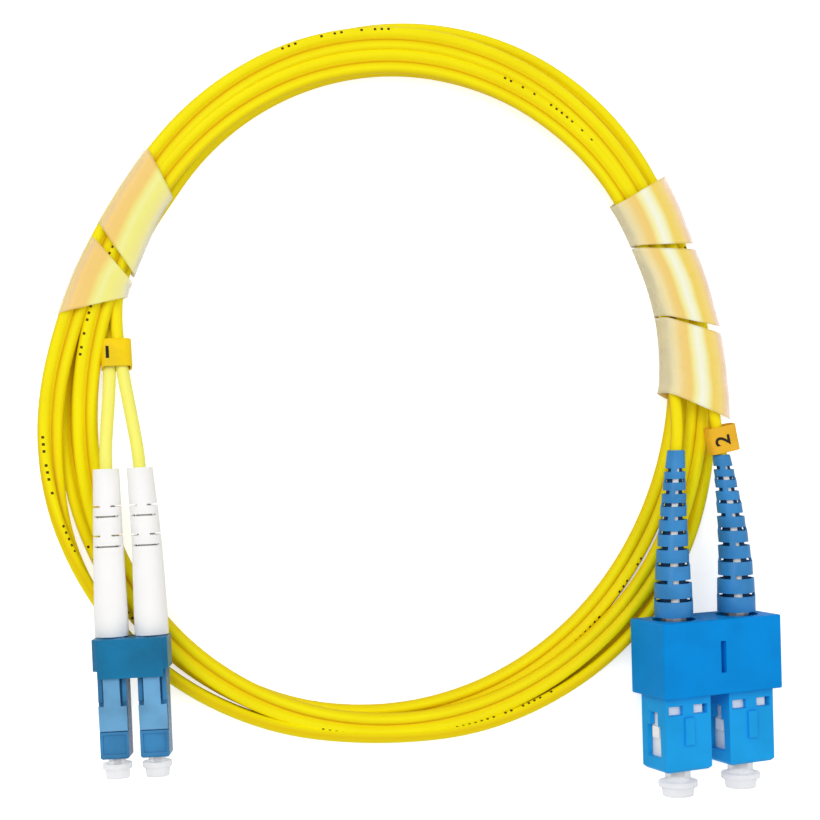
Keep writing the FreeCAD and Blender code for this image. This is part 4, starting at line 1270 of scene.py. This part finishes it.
@dataclass
class PlugPair:
    """The boots, caps, springs and mouldings of a pair."""

    place: PlugFrame
    # a boot without its number
    boot: Callable[..., Boot]
    # radius and height round the cap's cut half, from its open rear outside to its bore
    cap: Pairs
    # a spring's rear end, and the share of its length that is left at the end of the ferrule's travel
    spring: tuple[float, float]
    # a piece's name, its finish and how wide its edges are rounded
    mouldings: Sequence[tuple[str, Finish, float]]
    clip: tuple[Finish, float]

    def build(self) -> None:
        """Builds both plugs and the clip round them."""
        for number in (1, 2):
            self.boot(self.place, number).build()
            self.build_cap(number)
            self.build_spring(number)
            for piece, finish, width in self.mouldings:
                self.build_moulding(f"{self.place.kind}_{piece}_{number}", finish, width, 1.0)
        self.build_moulding(self.place.kind + "_duplex_clip", *self.clip, 2.0)

    def build_cap(self, number: int) -> None:
        """Spins a translucent cap over a ferrule.

        Args:
            number: The plug.
        """
        bm = bmesh.new()
        verts = [bm.verts.new((radius, 0.0, along)) for radius, along in self.cap]
        edges = [bm.edges.new(ends) for ends in zip(verts, verts[1:])]
        bmesh.ops.spin(bm, geom=verts + edges, cent=(0, 0, 0), axis=(0, 0, 1), angle=2.0 * pi, steps=40,
                       use_merge=True)
        bmesh.ops.remove_doubles(bm, verts=bm.verts, dist=1e-4)
        self.place.settle(bm, number)
        node = f"{self.place.kind}_dust_cap_{number}"
        harden(finish_object(node + "_clear", bm, CAP_CLEAR, node=node), edge=0.08)

    def build_spring(self, number: int) -> None:
        """Copies a spring's mesh into an object with a mesh of its own.

        Args:
            number: The plug.
        """
        node, (rear, keep) = f"{self.place.kind}_spring_{number}", self.spring
        bm = bmesh.new()
        bm.from_mesh(frame["nodes"][node].data)
        made = finish_object(node + "_wire", bm, SPRING, node=node)
        start, further = self.place.middle(number, rear), self.place.middle(number, rear + 1.0)
        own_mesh(made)

    @staticmethod
    def build_moulding(node: str, finish: Finish, width: float, shortest: float) -> None:
        """Copies a solid's mesh and rounds its long outer edges.

        Args:
            node: The solid.
            finish: The moulding's finish.
            width: How wide its edges are rounded, in millimetres.
            shortest: The length from which an edge is rounded, in millimetres.
        """
        bm = bmesh.new()
        bm.from_mesh(frame["nodes"][node].data)
        bmesh.ops.remove_doubles(bm, verts=bm.verts, dist=1e-6)
        bmesh.ops.dissolve_limit(bm, angle_limit=radians(1.0), verts=bm.verts, edges=bm.edges)
        sharp = [edge for edge in bm.edges if len(edge.link_faces) == 2 and edge.is_convex
                 and edge.calc_length() > shortest * MM and edge.calc_face_angle(0.0) > radians(50)]
        bmesh.ops.bevel(bm, geom=sharp, offset=width * MM, offset_type="OFFSET", segments=2, profile=0.5,
                        affect="EDGES", clamp_overlap=True, material=-1)
        finish_object(node + "_moulded", bm, finish, smooth=False, node=node)


def build_plugs() -> None:
    """Builds both pairs."""
    # ten slots, each nearer to the last than that to the one before
    slots, station, pitch, count, shrinks = [], 3.4, 3.05, 10, 0.16
    while len(slots) < count:
        slots.append(round(station, 2))
        station, pitch = station + pitch, pitch - shrinks
    small = partial(Boot, base_diameter=5.3, tail_diameter=4.1, front=0.5, stations=(13.6, 15.3, 18.3, 19.9),
                    slot_width=0.26, finish=WHITE_BOOT, wall=0.6, rib=0.8, lining_base=1.9)
    large = partial(Boot, base_diameter=6.5, tail_diameter=2.95, front=-0.5, stations=tuple(slots), slot_width=0.6,
                    finish=BLUE_BOOT, wall=0.4, step=0.16, rib=0.5, turned=25.0, odd_turned=16.0, lining_base=2.7,
                    shade_sleeve=BOOT_INSIDE_SHADE)
    PlugPair(SMALL_PAIR, small, (
        (0.775, 17.5), (1.35, 17.5), (1.35, 20.3), (2.3, 20.3), (2.3, 21.2), (1.95, 21.2), (1.8, 22.7), (0.0, 22.7),
    ), (6.95, 0.85), (("housing", SMALL_BLUE, 0.10), ("latch", LIT_LATCH_BLUE, 0.10)), (TEAL_CLIP, 0.22)).build()
    PlugPair(LARGE_PAIR, large, (
        (1.4, 21.5), (2.15, 21.5), (2.15, 27.1), (3.3, 27.1), (3.3, 28.0), (2.8, 28.0), (2.575, 29.6), (0.0, 29.6),
    ), (7.65, 0.855), (("grip", GRIP_BLUE, 0.14), ("inner_body", INNER_WHITE, 0.10)), (LARGE_BLUE, 0.25)).build()


def dress_solids() -> None:
    """Gives each solid that is shown as it was drawn its finish."""
    for node, solid in frame["nodes"].items():
        starts = [start for start in SOLID_FINISHES if node[3:].startswith(start)]
        if starts:
            for slot in solid.material_slots:
                slot.material = SOLID_FINISHES[max(starts, key=len)].build()
            LOG.info("dressed %s", node)


def main() -> None:
    """Builds the whole scene in order."""
    logging.basicConfig(level=logging.INFO)
    bpy.context.scene.view_settings.view_transform = "Standard"
    PhotoCamera().build()
    ring = Ring()
    ZipCord(ring).build()
    SplitEnds(ring).build()
    Studio().build()
    FilmWrap("left_film", "coil_wrap_left", ring, (
        ((142.9, 138.8, 6.0), (159.6, 153.6, 6.0)),
        ((161.0, 155.9, 6.0), (163.7, 169.5, 6.0)),
    ), LEFT_FILM).build()
    FilmWrap("right_film", "coil_wrap_right", ring, (
        ((37.4, 36.2, 6.0), (28.3, 24.0, 6.2)),
        ((27.8, 22.9, 6.2), (13.5, 9.4, 8.4)),
        ((13.2, 8.1, 8.4), (-1.9, -6.0, 9.2)),
    ), RIGHT_FILM, proud_inside=0.75).build()
    NumberTag("small_tag", "number_tag_lc", Vector((-48.95, 8.85, 3.95)), Vector((0.25, -7.7, 2.4)), 4.85,
              TAG_YELLOW, length=4.6, bar=True).build()
    rear, front = LARGE_PAIR.middle(2, -32.0), LARGE_PAIR.middle(2, -28.0)
    NumberTag("large_tag", "number_tag_sc", (rear + front) / 2 + Vector((0.6, 0.0, 0.0)), front - rear, 5.2,
              TAG_ORANGE, length=4.5, digit="2").build()
    build_plugs()
    dress_solids()


if __name__ == "__main__":
    main()
